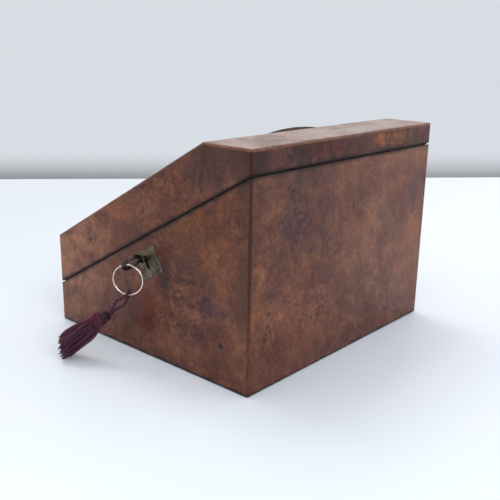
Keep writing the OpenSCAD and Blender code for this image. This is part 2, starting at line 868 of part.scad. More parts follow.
// Route of the doubled cord: up one side of the ring's wire, over it and down the other
// Each row: share of the way down, then in cord rooms, its place through the ring, the loop's opening
// and its height above the ring's wire
loop_rows = [
    [1, 0.4, 0.15, 0], [0.85, 0.45, 0.55, 0], [0.7, 0.55, 0.95, 0], [0.5, 0.8, 1.1, 0], [0.3, 1.1, 0.75, 0],
    [0.15, 1.2, 0.35, 0.05], [0.05, 1.05, 0.1, 0.3], [0, 0.75, 0, 0.8], [0, 0, 0, 1.1]
];
function loop_point(row, side) = ring_low
    + cord_dir * row[0] * loop_len
    + ring_dir * side * row[1] * loop_room
    + loop_side * side * row[2] * loop_room
    + [0, 0, row[3] * loop_room];
loop_path = concat(
    [for (k = [0:len(loop_rows) - 1]) loop_point(loop_rows[k], 1)],
    [for (k = [len(loop_rows) - 2:-1:0]) loop_point(loop_rows[k], -1)]
);

function heading(path, k) = unit(path[min(k + 1, len(path) - 1)] - path[max(k - 1, 0)]);
cord_sides = 8;

// Tube of radius r swept along a path that never heads along guide
module tube(path, r, guide) {
    rings = [for (k = [0:len(path) - 1])
        let (across = unit(cross(heading(path, k), guide)), up = unit(cross(heading(path, k), across)))
        for (a = [0:cord_sides - 1])
            path[k] + r * (across * cos(360 * a / cord_sides) + up * sin(360 * a / cord_sides))];
    walls = [for (k = [0:len(path) - 2], a = [0:cord_sides - 1])
        let (b = (a + 1) % cord_sides, p = k * cord_sides, q = p + cord_sides)
        [p + a, p + b, q + b, q + a]];
    first = [[for (a = [cord_sides - 1:-1:0]) a]];
    last = [[for (a = [0:cord_sides - 1]) (len(path) - 1) * cord_sides + a]];
    polyhedron(points = rings, faces = concat(walls, first, last), convexity = 6);
}

module tassel_loop() color("maroon")
    tube(loop_path, cord_d / 2, loop_side);

knot_r = 2.2;
knot_flat = 0.4;     // what the collar takes off the knot
knot_end = knot_r - knot_flat;
knot_at = ring_low + cord_dir * (loop_len + loose + knot_r);

// Frame at the knot with +Z along the tassel, away from the ring
module at_tassel() {
    translate(knot_at) rotate([0, level + tassel_drop, tassel_az]) children();
}

module tassel_knot() color("maroon")
    at_tassel() difference() {
        sphere(knot_r);
        translate([0, 0, knot_end]) cylinder(r = knot_r, h = knot_r);
    }

collar_edge = 0.5;   // radius of the collar's rounded edges

module tassel_collar() color("midnightblue")
    at_tassel() translate([0, 0, knot_end]) rotate_extrude() {
        square([collar_silk_r - collar_edge, collar_len]);
        translate([0, collar_edge]) square([collar_silk_r, collar_len - 2 * collar_edge]);
        for (z = [collar_edge, collar_len - collar_edge])
            translate([collar_silk_r - collar_edge, z]) circle(collar_edge);
    }

head_z = knot_end + collar_len;
skirt_z = head_z + head_len;
neck = 0.86;         // the skirt starts at this share of the head's radius

// Head: the bulge of the threads as they leave the collar
module tassel_head() color("firebrick")
    at_tassel() translate([0, 0, head_z]) rotate_extrude() intersection() {
        union() {
            translate([0, head_len / 2]) circle(head_r);
            square([neck * head_r, head_len]);
        }
        square([2 * head_r, head_len]);
    }

// Rows of the skirt's outline: share of its length, share of the way out to its tips
skirt_rows = [[0, 0], [0.12, 0.35], [0.3, 0.75], [0.5, 0.97], [0.75, 1], [1, 1]];

// Skirt of silk threads, flat where it lies on the surface below
module tassel_skirt() color("maroon")
    intersection() {
        at_tassel() translate([0, 0, skirt_z]) rotate_extrude()
            polygon(concat(
                [[0, 0]],
                [for (p = skirt_rows) [neck * head_r * (1 - p[1]) + skirt_r * p[1], p[0] * skirt_len]],
                [[0, skirt_len]]
            ));
        translate([0, -box_d, 0]) cube([box_w, box_d, box_h]);
    }

bottom_board();
back_board();
front_board();
lock_side_board();
hinge_side_board();
back_veneer();
front_veneer();
lock_side_veneer();
hinge_side_veneer();
base_baize();
lid_top_board();
lid_slope_board();
lid_back_rail();
lid_front_rail();
lid_lock_side_board();
lid_hinge_side_board();
lid_top_veneer();
lid_slope_veneer();
lid_back_veneer();
lid_front_veneer();
lid_lock_side_veneer();
lid_hinge_side_veneer();
slot_mount();
slot_pins();
escutcheon();
lock_case();
lock_cap();
drill_pin();
lock_screws();
lock_bolt();
bolt_spring();
link_plate();
link_screws();
hinge_body_leaves();
hinge_lid_leaves();
hinge_pins();
hinge_body_screws();
hinge_lid_screws();
key();
key_ring();
tassel_loop();
tassel_knot();
tassel_head();
tassel_collar();
tassel_skirt();
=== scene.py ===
"""A sloping money box veneered in burr walnut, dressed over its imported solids.

Metres, +Z up. +X is the lock side, -X the hinge side, +Y the tall back and -Y the low front.
The origin is on the underside, at the middle of the box.
"""

import math

import bpy
import numpy as np
from mathutils import Matrix, Vector


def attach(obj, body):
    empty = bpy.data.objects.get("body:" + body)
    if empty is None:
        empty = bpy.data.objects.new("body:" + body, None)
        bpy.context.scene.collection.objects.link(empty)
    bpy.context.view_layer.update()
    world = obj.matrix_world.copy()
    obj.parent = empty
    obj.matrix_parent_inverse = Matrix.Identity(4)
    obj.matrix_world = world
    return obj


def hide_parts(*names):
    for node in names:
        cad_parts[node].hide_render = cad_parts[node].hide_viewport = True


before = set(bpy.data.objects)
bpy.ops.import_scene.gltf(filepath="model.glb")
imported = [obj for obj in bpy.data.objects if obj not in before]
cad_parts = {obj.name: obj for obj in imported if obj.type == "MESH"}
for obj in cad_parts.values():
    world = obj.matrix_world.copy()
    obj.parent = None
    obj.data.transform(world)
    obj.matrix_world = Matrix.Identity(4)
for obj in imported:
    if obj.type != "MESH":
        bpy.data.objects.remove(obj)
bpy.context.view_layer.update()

# ---- sizes of the box, as it was built ----

MM = 0.001
HALF_W = 101 * MM
HALF_D = 94 * MM
HEIGHT = 150 * MM
FRONT_H = 66 * MM
TOP_D = 38.5 * MM
LID_BACK_H = 15.2 * MM
SLOPE = math.atan((HEIGHT - FRONT_H) / (2 * HALF_D - TOP_D))
SEAM_MID = HEIGHT - LID_BACK_H - HALF_D * math.tan(SLOPE)
RIDGE_Y = HALF_D - TOP_D
KEY_U = -3.3 * MM
KEY_V = -13.5 * MM


def on_rim(x, u, v):
    """A place counted along the rim and square above it, as a place on the box."""
    c, s = math.cos(SLOPE), math.sin(SLOPE)
    return np.array([x, u * c - v * s, SEAM_MID + u * s + v * c])


# ---- camera, table and light ----

FRAME_SIDE = 500
SENSOR = 36
LENS = 52.196
CAMERA_AT = Vector((0.3967, 0.3527, 0.2083))
CAMERA_AZ, CAMERA_EL, CAMERA_ROLL = (math.radians(a) for a in (131.1913, 16.3308, 1.0627))

# The table's far edge runs through two places on the frame. Behind it a painted shade darkens the wall down
# to its foot, from one height to another above the camera's level for each unit of distance ahead. Aside of
# the camera's heading the painted shade fades out, by how much of the sight line goes ahead.
FAR_LEFT, FAR_RIGHT = (-900, 182.6), (1400, 174)
TABLE_REACH = 4
PALE_TABLE = (0.89, 0.935, 0.99)
CLOUDED_TABLE = tuple(v * 0.985 for v in PALE_TABLE)
# Painted shade on the table: its darker colour and the span of Y over which it comes in.
TABLE_PAINTED_SHADE = tuple(v * 0.8 for v in PALE_TABLE)
PAINTED_SHADE_FROM_Y, PAINTED_SHADE_TO_Y = 0.15, -0.55
PALE_WALL = (0.685, 0.723, 0.768)
WALL_FOOT_PAINTED_SHADE = (0.066, 0.069, 0.073)
FOOT_LOW, FOOT_HIGH = -0.2153, -0.149
FOOT_SIDE, FOOT_FULL = 0.80, 0.92

# Light from the room on dull and on shiny surfaces, and two lamps: place, width, height, watts, colour.
ROOM_ON_DULL = (0.775, 0.81, 0.865)
ROOM_ON_SHINY = (1.14, 1.07, 1.03)
LAMP_AIM = (0, 0, 0.05)
WINDOW = ((-0.6, -2.8, 5.6), 2.6, 2.6, 86, (1.0, 0.99, 0.97))
FILL = ((1.2, 4.2, 3.2), 3.5, 2.5, 72, (1.0, 1.0, 1.0))


def camera_axes():
    """Right, up and forward directions of the camera, from its azimuth, elevation and roll."""
    ce, se = math.cos(CAMERA_EL), math.sin(CAMERA_EL)
    forward = Vector((-math.sin(CAMERA_AZ) * ce, math.cos(CAMERA_AZ) * ce, -se))
    right = forward.cross(Vector((0, 0, 1))).normalized()
    up = right.cross(forward)
    c, s = math.cos(CAMERA_ROLL), math.sin(CAMERA_ROLL)
    return right * c + up * s, up * c - right * s, forward


def add_camera():
    """The camera, looking along its forward axis with its own up."""
    right, up, forward = camera_axes()
    lens = bpy.data.cameras.new("camera")
    lens.lens = LENS
    lens.sensor_width = SENSOR
    lens.clip_start = 0.01
    camera = bpy.data.objects.new("camera", lens)
    turn = Matrix((right, up, -forward)).transposed().to_4x4()
    camera.matrix_world = Matrix.Translation(CAMERA_AT) @ turn
    bpy.context.scene.collection.objects.link(camera)
    bpy.context.scene.camera = camera


def table_point(px, py):
    """Where the sight line through a place on the square frame meets the table's height."""
    right, up, forward = camera_axes()
    reach = LENS / SENSOR * FRAME_SIDE
    middle = FRAME_SIDE / 2
    ray = forward * reach + right * (px - middle) - up * (py - middle)
    return CAMERA_AT - ray * (CAMERA_AT.z / ray.z)


def add_lamp(name, at, width, height, watts, colour):
    """A soft rectangular lamp at one point, turned to face the box."""
    lamp = bpy.data.lights.new(name, "AREA")
    lamp.shape = "RECTANGLE"
    lamp.size, lamp.size_y = width, height
    lamp.energy = watts
    lamp.color = colour
    obj = bpy.data.objects.new(name, lamp)
    obj.location = at
    obj.rotation_euler = (Vector(LAMP_AIM) - Vector(at)).to_track_quat("-Z", "Y").to_euler()
    bpy.context.scene.collection.objects.link(obj)


# ---- small helpers for meshes and materials ----

def mesh_piece(name, points, faces, material, body, stands_for=()):
    """One finished piece: its points and faces in place, riding on a body of the box."""
    mesh = bpy.data.meshes.new(name)
    mesh.from_pydata(np.asarray(points).reshape(-1, 3).tolist(), [], faces)
    mesh.polygons.foreach_set("use_smooth", np.ones(len(mesh.polygons), bool))
    mesh.materials.append(material)
    mesh.update()
    piece = bpy.data.objects.new(name, mesh)
    bpy.context.scene.collection.objects.link(piece)
    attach(piece, body)
    if stands_for:
        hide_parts(*stands_for)
    return piece


def grid_faces(rows, columns, start=0):
    """Quads between neighbouring rows of a grid of points whose columns close on themselves."""
    r = np.arange(rows - 1)[:, None]
    c = np.arange(columns)[None, :]
    n = (c + 1) % columns
    quads = [r * columns + c, r * columns + n, (r + 1) * columns + n, (r + 1) * columns + c]
    return np.stack(quads, -1).reshape(-1, 4) + start


def unit(v):
    """Vectors of length one, in the last axis."""
    v = np.asarray(v, float)
    return v / np.linalg.norm(v, axis=-1, keepdims=True)


def tube_grid(path, radius, sides, guide, closed=False):
    """Points round a path: path(t) + radius(t) * (across * cos a + over * sin a), square to its heading.

    Across is square to the guide, a direction that the path never follows.
    """
    path = np.asarray(path, float)
    ahead = np.roll(path, -1, 0) - np.roll(path, 1, 0)
    if not closed:
        ahead[0], ahead[-1] = path[1] - path[0], path[-1] - path[-2]
    ahead = unit(ahead)
    across = unit(np.cross(ahead, np.asarray(guide, float)))
    over = np.cross(ahead, across)
    a = np.linspace(0, 2 * np.pi, sides, endpoint=False)[None, :, None]
    reach = np.broadcast_to(np.asarray(radius, float), (len(path),))[:, None, None]
    return path[:, None] + reach * (across[:, None] * np.cos(a) + over[:, None] * np.sin(a))


def lathe_grid(origin, axis, along, radius, sides):
    """Points of a turned form: origin + axis * along + radius * (across * cos a + over * sin a)."""
    axis = unit(axis)
    across = unit(np.cross(axis, (0, 0, 1)))
    over = np.cross(axis, across)
    a = np.linspace(0, 2 * np.pi, sides, endpoint=False)
    ring = across * np.cos(a)[:, None] + over * np.sin(a)[:, None]
    along, radius = np.asarray(along, float), np.asarray(radius, float)
    return origin + axis * along[:, None, None] + radius[:, None, None] * ring[None]


def ends(rows, columns, start):
    """Triangles that close the first and last ring of a grid with two middle points added after it."""
    c = np.arange(columns)
    n = (c + 1) % columns
    first, last = rows * columns, rows * columns + 1
    low = np.stack([n, c, np.full(columns, first)], -1)
    high = np.stack([c + (rows - 1) * columns, n + (rows - 1) * columns, np.full(columns, last)], -1)
    return (np.concatenate([low, high]) + start).tolist()


def closed_grid(grid, start=0):
    """Points and faces of one closed form from its grid of rings."""
    rows, columns = grid.shape[:2]
    points = np.concatenate([grid.reshape(-1, 3), [grid[0].mean(0), grid[-1].mean(0)]])
    return points, grid_faces(rows, columns, start).tolist() + ends(rows, columns, start)


def joined(grids):
    """Points and faces of several closed forms as one mesh."""
    points, faces = [], []
    count = 0
    for grid in grids:
        p, f = closed_grid(grid, count)
        points.append(p)
        faces += f
        count += len(p)
    return np.concatenate(points), faces


def feed(tree, socket, value):
    """A socket fed by another socket, or given a plain value, to which a colour adds its alpha."""
    if isinstance(value, bpy.types.NodeSocket):
        tree.links.new(value, socket)
    else:
        socket.default_value = (*value, 1) if socket.type == "RGBA" else value


def put(tree, kind, inputs=None, **settings):
    """A node with its settings made and its inputs given as values or as other sockets."""
    node = tree.nodes.new(kind)
    for name, value in settings.items():
        setattr(node, name, value)
    for name, value in (inputs or {}).items():
        feed(tree, node.inputs[name], value)
    return node


def on_piece(tree):
    """The place on the piece, in metres."""
    return put(tree, "ShaderNodeTexCoord").outputs["Object"]


def split(tree, vector):
    """The X, Y and Z of a vector."""
    return put(tree, "ShaderNodeSeparateXYZ", {"Vector": vector}).outputs


def sums(tree, operation, a, b=0.0, clamp=False):
    """The result of one sum on two numbers or sockets."""
    return put(tree, "ShaderNodeMath", {0: a, 1: b}, operation=operation, use_clamp=clamp).outputs[0]


def times(tree, a, b, clamp=False):
    """The product of two numbers or sockets."""
    return sums(tree, "MULTIPLY", a, b, clamp)


def vectors(tree, operation, a, b=(0, 0, 0)):
    """The result of one sum on two vectors."""
    node = put(tree, "ShaderNodeVectorMath", {0: a, 1: b}, operation=operation)
    return node.outputs["Value" if operation in ("LENGTH", "DOT_PRODUCT") else "Vector"]


def fade(tree, value, low, high, to_low=0.0, to_high=1.0):
    """Value carried smoothly from low..high to to_low..to_high."""
    ranges = {"Value": value, "From Min": low, "From Max": high, "To Min": to_low, "To Max": to_high}
    return put(tree, "ShaderNodeMapRange", ranges, interpolation_type="SMOOTHSTEP").outputs["Result"]


def noise(tree, vector, scale, detail, rough, output="Fac"):
    """Cloudy noise read at a vector."""
    inputs = {"Vector": vector, "Scale": scale, "Detail": detail, "Roughness": rough}
    return put(tree, "ShaderNodeTexNoise", inputs).outputs[output]


def shaken(tree, vector, scale, detail, rough, by):
    """A place moved by coloured noise: place + by * (noise - 0.5) on each axis."""
    swing = vectors(tree, "SUBTRACT", noise(tree, vector, scale, detail, rough, "Color"), (0.5, 0.5, 0.5))
    return vectors(tree, "ADD", vector, vectors(tree, "MULTIPLY", swing, (by, by, by)))


def mixed(tree, share, a, b, blend="MIX"):
    """Colour a going over to colour b by share. The Mix node keeps its two colours at inputs 6 and 7."""
    inputs = {0: share, 6: a, 7: b}
    return put(tree, "ShaderNodeMix", inputs, data_type="RGBA", blend_type=blend).outputs[2]


def stained(tree, colour, mask, strength, tint):
    """A colour going over to a tint by strength, where the mask is 1."""
    return mixed(tree, times(tree, mask, strength), colour, tint)


def group(name, takes, gives):
    """An empty shader group with its named inputs (name, type, start value) and outputs (name, type)."""
    tree = bpy.data.node_groups.new(name, "ShaderNodeTree")
    for label, kind, start in takes:
        socket = tree.interface.new_socket(label, in_out="INPUT", socket_type=kind)
        socket.default_value = start
    for label, kind in gives:
        tree.interface.new_socket(label, in_out="OUTPUT", socket_type=kind)
    return tree, tree.nodes.new("NodeGroupInput").outputs, tree.nodes.new("NodeGroupOutput").inputs


def place_group(tree, name, inputs=None):
    """The outputs of a group placed in a material, with its own values."""
    return put(tree, "ShaderNodeGroup", inputs, node_tree=bpy.data.node_groups[name]).outputs


def material(name):
    """An empty material with its tree and its Principled shader, ready to be fed."""
    made = bpy.data.materials.new(name)
    made.use_nodes = True
    return made, made.node_tree, made.node_tree.nodes["Principled BSDF"]


def relief(tree, shader, height, depth, strength):
    """A bump of the given depth, in metres, feeding the shader's normal."""
    bump = put(tree, "ShaderNodeBump", {"Height": height, "Distance": depth, "Strength": strength})
    feed(tree, shader.inputs["Normal"], bump.outputs["Normal"])


# ---- effects shared by the materials ----

FLOAT, VECTOR = "NodeSocketFloat", "NodeSocketVector"
# Widths of the grime with painted shade beside the seam and at the foot, and of the rubbed edges with a
# painted highlight.
SEAM_GRIME_AND_SHADE = (2.2 * MM, 4.6 * MM)
FOOT_GRIME_AND_SHADE = (2.2 * MM, 4.2 * MM)
EDGE_WEAR_AND_HIGHLIGHT, EDGE_CORE = 2.1 * MM, 0.2 * MM


def make_burr_figure():
    """Tone of the figure, dark burr eyes and relief: noise read at a place that slower noise has bent.

    Lines follow the levels of one noise, and veins the places where another crosses its middle. Eyes are
    the hearts of some cells. Eyes, veins and swirls are strong inside the swarms of clusters and knots.
    """
    tree, take, give = group(
        "burr figure",
        [("Offset", VECTOR, (0, 0, 0)), ("Burr", FLOAT, 1.0), ("Cloud", FLOAT, 1.0), ("Knots", FLOAT, 0.0)],
        [("Tone", FLOAT), ("Eyes", FLOAT), ("Height", FLOAT)],
    )
    here = vectors(tree, "ADD", on_piece(tree), take["Offset"])
    bent = shaken(tree, here, 15, 2, 0.5, 0.03)
    curled = shaken(tree, bent, 75, 3, 0.6, 0.009)

    cloud = fade(tree, noise(tree, bent, 17, 3, 0.55), 0.34, 0.68)
    mottle = fade(tree, noise(tree, curled, 120, 5, 0.68), 0.25, 0.75)
    flecks = fade(tree, noise(tree, curled, 420, 4, 0.62), 0.28, 0.72)
    level_gap = 0.018
    levels = sums(tree, "PINGPONG", noise(tree, curled, 26, 1.5, 0.4), level_gap)
    lines = fade(tree, levels, 0.0, level_gap)
    drawn_out = vectors(tree, "MULTIPLY", curled, (1.0, 1.0, 0.16))
    streaks = fade(tree, noise(tree, drawn_out, 420, 3, 0.6), 0.3, 0.7)
    off_middle = sums(tree, "ABSOLUTE", sums(tree, "SUBTRACT", noise(tree, curled, 80, 2.5, 0.5), 0.5))
    veins = fade(tree, off_middle, 0.03, 0.0)

    cells = put(tree, "ShaderNodeTexVoronoi", {"Vector": curled, "Scale": 150, "Randomness": 1.0}).outputs
    heart = fade(tree, cells["Distance"], 0.38, 0.1)
    lot = put(tree, "ShaderNodeSeparateColor", {"Color": cells["Color"]}).outputs["Red"]
    chosen = fade(tree, lot, 0.45, 0.6)
    cluster = fade(tree, noise(tree, here, 21, 2, 0.5), 0.5, 0.66)
    swarm = sums(tree, "ADD", times(tree, cluster, take["Burr"]), take["Knots"])
    feed(tree, give["Eyes"], times(tree, times(tree, heart, chosen), swarm, clamp=True))

    cloudy = times(tree, sums(tree, "SUBTRACT", cloud, 0.5), take["Cloud"])
    tone = sums(tree, "ADD", times(tree, cloudy, 0.5), 0.5)
    for part, weight in ((mottle, 0.44), (flecks, 0.24), (lines, 0.10), (streaks, 0.12)):
        tone = sums(tree, "ADD", tone, times(tree, sums(tree, "SUBTRACT", part, 0.5), weight))
    swirl = times(tree, swarm, sums(tree, "SUBTRACT", lines, 0.62))
    tone = sums(tree, "ADD", tone, times(tree, swirl, 0.16))
    vein_depth = sums(tree, "ADD", times(tree, swarm, 0.5), 0.06)
    feed(tree, give["Tone"], sums(tree, "SUBTRACT", tone, times(tree, veins, vein_depth), clamp=True))
    feed(tree, give["Height"], sums(tree, "ADD", mottle, times(tree, streaks, 0.5)))


def make_patch():
    """A soft ragged patch: 1 inside an ellipsoid about Centre with half-axes Size, fading out past it."""
    tree, take, give = group(
        "patch",
        [
            ("Centre", VECTOR, (0, 0, 0)),
            ("Size", VECTOR, (0.01, 0.01, 0.01)),
            ("Ragged", FLOAT, 0.5),
            ("Inner", FLOAT, 0.4),
        ],
        [("Mask", FLOAT)],
    )
    here = on_piece(tree)
    away = vectors(tree, "DIVIDE", vectors(tree, "SUBTRACT", here, take["Centre"]), take["Size"])
    wander = sums(tree, "SUBTRACT", noise(tree, here, 60, 4, 0.6), 0.5)
    ragged = times(tree, wander, times(tree, take["Ragged"], 2.6))
    reach = sums(tree, "ADD", vectors(tree, "LENGTH", away), ragged)
    feed(tree, give["Mask"], fade(tree, reach, 1.0, take["Inner"]))


def make_handling():
    """Where hands and cloths reach: grime with painted shade beside the seam, grime with painted contact
    shade at the foot, rubbed outer edges with a painted highlight, and smudges.

    The seam is the plane through the rim. An edge is where two of the box's outer planes come close.
    """
    tree, take, give = group(
        "handling",
        [("Grime and shade", FLOAT, 1.0), ("Wear and highlight", FLOAT, 1.0)],
        [("Seam", FLOAT), ("Foot", FLOAT), ("Edge", FLOAT), ("Smudge", FLOAT)],
    )
    here = on_piece(tree)
    xyz = split(tree, here)
    broken = noise(tree, here, 90, 4, 0.6)
    square_up = (0, -math.sin(SLOPE), math.cos(SLOPE))

    # Grime and painted shade in a band beside the seam.
    from_seam = vectors(tree, "SUBTRACT", here, (0, 0, SEAM_MID))
    above = sums(tree, "ABSOLUTE", vectors(tree, "DOT_PRODUCT", from_seam, square_up))
    width = fade(tree, broken, 0.3, 0.7, *SEAM_GRIME_AND_SHADE)
    seam = fade(tree, sums(tree, "DIVIDE", above, width), 1.0, 0.15)
    feed(tree, give["Seam"], times(tree, seam, take["Grime and shade"]))

    # Grime and painted contact shade along the foot.
    width = fade(tree, broken, 0.35, 0.7, *FOOT_GRIME_AND_SHADE)
    foot = fade(tree, sums(tree, "DIVIDE", xyz["Z"], width), 1.0, 0.5)
    feed(tree, give["Foot"], times(tree, foot, take["Grime and shade"]))

    # Rubbed outer edges, lighter partly from wear and partly as a painted highlight.
    from_ridge = vectors(tree, "SUBTRACT", (0, RIDGE_Y, HEIGHT), here)
    gaps = (
        sums(tree, "SUBTRACT", HALF_W, sums(tree, "ABSOLUTE", xyz["X"])),
        sums(tree, "SUBTRACT", HALF_D, sums(tree, "ABSOLUTE", xyz["Y"])),
        sums(tree, "SUBTRACT", HEIGHT, xyz["Z"]),
        vectors(tree, "DOT_PRODUCT", from_ridge, square_up),
    )
    near = 0.0
    for gap in gaps:
        near = sums(tree, "ADD", near, fade(tree, gap, EDGE_WEAR_AND_HIGHLIGHT, EDGE_CORE))
    edge = sums(tree, "SUBTRACT", near, 1.0, clamp=True)
    edge = times(tree, edge, fade(tree, broken, 0.3, 0.6, 0.35, 1.0))
    feed(tree, give["Edge"], times(tree, edge, take["Wear and highlight"]))
    feed(tree, give["Smudge"], fade(tree, noise(tree, here, 33, 5, 0.7), 0.3, 0.75))


def make_scratches():
    """Fine scratches: long thin noise in two crossed directions, kept where it runs over a limit."""
    tree, take, give = group(
        "scratches",
        [("Scale", FLOAT, 60.0), ("Amount", FLOAT, 0.5)],
        [("Lines", FLOAT)],
    )
    here = on_piece(tree)
    total = 0.0
    for turn, stretch in (((0.4, 0.7, 0.2), (1.0, 14.0, 14.0)), ((1.9, 0.3, 1.1), (12.0, 1.0, 12.0))):
        inputs = {"Vector": here, "Rotation": turn, "Scale": stretch}
        turned = put(tree, "ShaderNodeMapping", inputs).outputs["Vector"]
        line = fade(tree, noise(tree, turned, take["Scale"], 2, 0.5), 0.62, 0.72)
        total = sums(tree, "MAXIMUM", line, total)
    feed(tree, give["Lines"], times(tree, total, take["Amount"]))


# ---- finishes ----

WALNUT_DARK = (0.064, 0.0165, 0.0105)
WALNUT_MID = (0.130, 0.0395, 0.0195)
WALNUT_LIGHT = (0.218, 0.0820, 0.0390)
BURR_EYE = (0.024, 0.0085, 0.0070)
# The dark of dirt, also used as painted shade at the seam, the foot and the boards' edges.
DIRT_AND_PAINTED_SHADE = (0.010, 0.0065, 0.006)
END_GRAIN_AND_DARK_REFLECTION = (0.038, 0.0075, 0.0050)
# Rubbed edges, partly a painted highlight on the arrises.
RUBBED_AND_HIGHLIGHT = (0.175, 0.060, 0.022)
PURPLE = (0.066, 0.0220, 0.0200)
ORANGE = (0.215, 0.0660, 0.0180)
# Honey: a light figure colour, also used as a painted sheen at the lock side's front end.
HONEY_AND_SHEEN = (0.330, 0.1380, 0.0700)
DEEP_RED = (0.105, 0.0180, 0.0080)
STAIN_AND_SHADE = (0.050, 0.0160, 0.0110)
PLUG = (0.020, 0.010, 0.008)
CARCASE_DARK, CARCASE_LIGHT = (0.20, 0.085, 0.035), (0.36, 0.175, 0.08)
BAIZE_DEEP, BAIZE_GREEN, BAIZE_WORN = (0.012, 0.035, 0.02), (0.04, 0.085, 0.05), (0.07, 0.08, 0.055)

# Widths and heights of the tall corner's dark line (end grain with a painted dark reflection) and of its
# painted shade.
CORNER_LINE, CORNER_LINE_CORE, CORNER_SHADE_CORE = 1.7 * MM, 0.9 * MM, 2 * MM
CORNER_FOOT, CORNER_FULL = 15 * MM, 70 * MM
# Reach of the painted shade on the boards' outer edges, inside the seam's gap.
BOARD_GAP_SHADE, BOARD_GAP_SHADE_CORE = 3.5 * MM, 2.2 * MM


def patch_mask(tree, centre, size, ragged, inner):
    """Where a patch lies: its centre and half-axes in millimetres."""
    centre, size = (tuple(v * MM for v in way) for way in (centre, size))
    inputs = {"Centre": centre, "Size": size, "Ragged": ragged, "Inner": inner}
    return place_group(tree, "patch", inputs)["Mask"]


def corner_shade(tree, colour, reach):
    """A dark line down the tall corner, end grain with a painted dark reflection, and a painted shade
    beside it that fades over its reach.

    The way to the corner is (half width - x) + (half depth - y). Both are weak near the foot.
    """
    xyz = split(tree, on_piece(tree))
    away = sums(tree, "SUBTRACT", HALF_W + HALF_D, sums(tree, "ADD", xyz["X"], xyz["Y"]))
    kept = fade(tree, xyz["Z"], CORNER_FOOT, CORNER_FULL, 0.15, 1.0)
    # Painted shade beside the corner, and the dark line: end grain with a painted dark reflection in the
    # rounded arris.
    shade = times(tree, fade(tree, away, reach, CORNER_SHADE_CORE), kept)
    line = times(tree, fade(tree, away, CORNER_LINE, CORNER_LINE_CORE), kept)
    return stained(tree, stained(tree, colour, shade, 0.4, STAIN_AND_SHADE), line, 0.92, END_GRAIN_AND_DARK_REFLECTION)


def veneer(name, offset, patches=(), knots=(), burr=1.0, cloud=1.0, corner=0.0, polish=1.32):
    """Burr walnut veneer of one face: its figure, then its own patches, then grime and painted shade, and
    rubbed edges with a painted highlight.

    A patch is (centre, half-axes, colour, strength, ragged, inner) and a knot (centre, half-axes). The tall
    corner's painted shade reaches as far as corner says. Polish is the varnish's index of refraction.
    """
    made, tree, shader = material(name)
    knotted = 0.0
    for centre, size in knots:
        knotted = sums(tree, "MAXIMUM", patch_mask(tree, centre, size, 0.9, 0.2), knotted)
    inputs = {"Offset": offset, "Burr": burr, "Cloud": cloud, "Knots": knotted}
    figure = place_group(tree, "burr figure", inputs)
    hands = place_group(tree, "handling")
    ramp = put(tree, "ShaderNodeValToRGB", {"Fac": figure["Tone"]})
    stops = ramp.color_ramp.elements
    stops[0].position, stops[0].color = 0.12, (*WALNUT_DARK, 1)
    stops[1].position, stops[1].color = 0.92, (*WALNUT_LIGHT, 1)
    stops.new(0.5).color = (*WALNUT_MID, 1)
    colour = ramp.outputs["Color"]
    gain = fade(tree, figure["Tone"], 0.1, 0.9, 0.5, 1.5)
    for centre, size, tint, strength, ragged, inner in patches:
        mask = patch_mask(tree, centre, size, ragged, inner)
        figured = mixed(tree, 1.0, tint, gain, "MULTIPLY")
        colour = stained(tree, colour, mask, strength, figured)
    colour = stained(tree, colour, figure["Eyes"], 0.8, BURR_EYE)
    # Rubbed edges, lighter partly from wear and partly as a painted highlight on the arrises.
    colour = stained(tree, colour, hands["Edge"], 0.12, RUBBED_AND_HIGHLIGHT)
    # The tall corner: painted shade, and a dark line of end grain with a painted dark reflection.
    if corner:
        colour = corner_shade(tree, colour, corner)
    # Grime with painted shade beside the seam.
    colour = stained(tree, colour, hands["Seam"], 0.8, DIRT_AND_PAINTED_SHADE)
    # Grime with painted contact shade along the foot.
    colour = stained(tree, colour, hands["Foot"], 0.92, DIRT_AND_PAINTED_SHADE)
    feed(tree, shader.inputs["Base Color"], colour)
    scratch = place_group(tree, "scratches", {"Scale": 40.0, "Amount": 0.12})["Lines"]
    gloss = fade(tree, hands["Smudge"], 0.0, 1.0, 0.22, 0.38)
    gloss = sums(tree, "ADD", gloss, times(tree, hands["Seam"], 0.25))
    feed(tree, shader.inputs["Roughness"], sums(tree, "ADD", gloss, scratch))
    shader.inputs["IOR"].default_value = polish
    relief(tree, shader, figure["Height"], 0.06 * MM, 0.5)
    return made


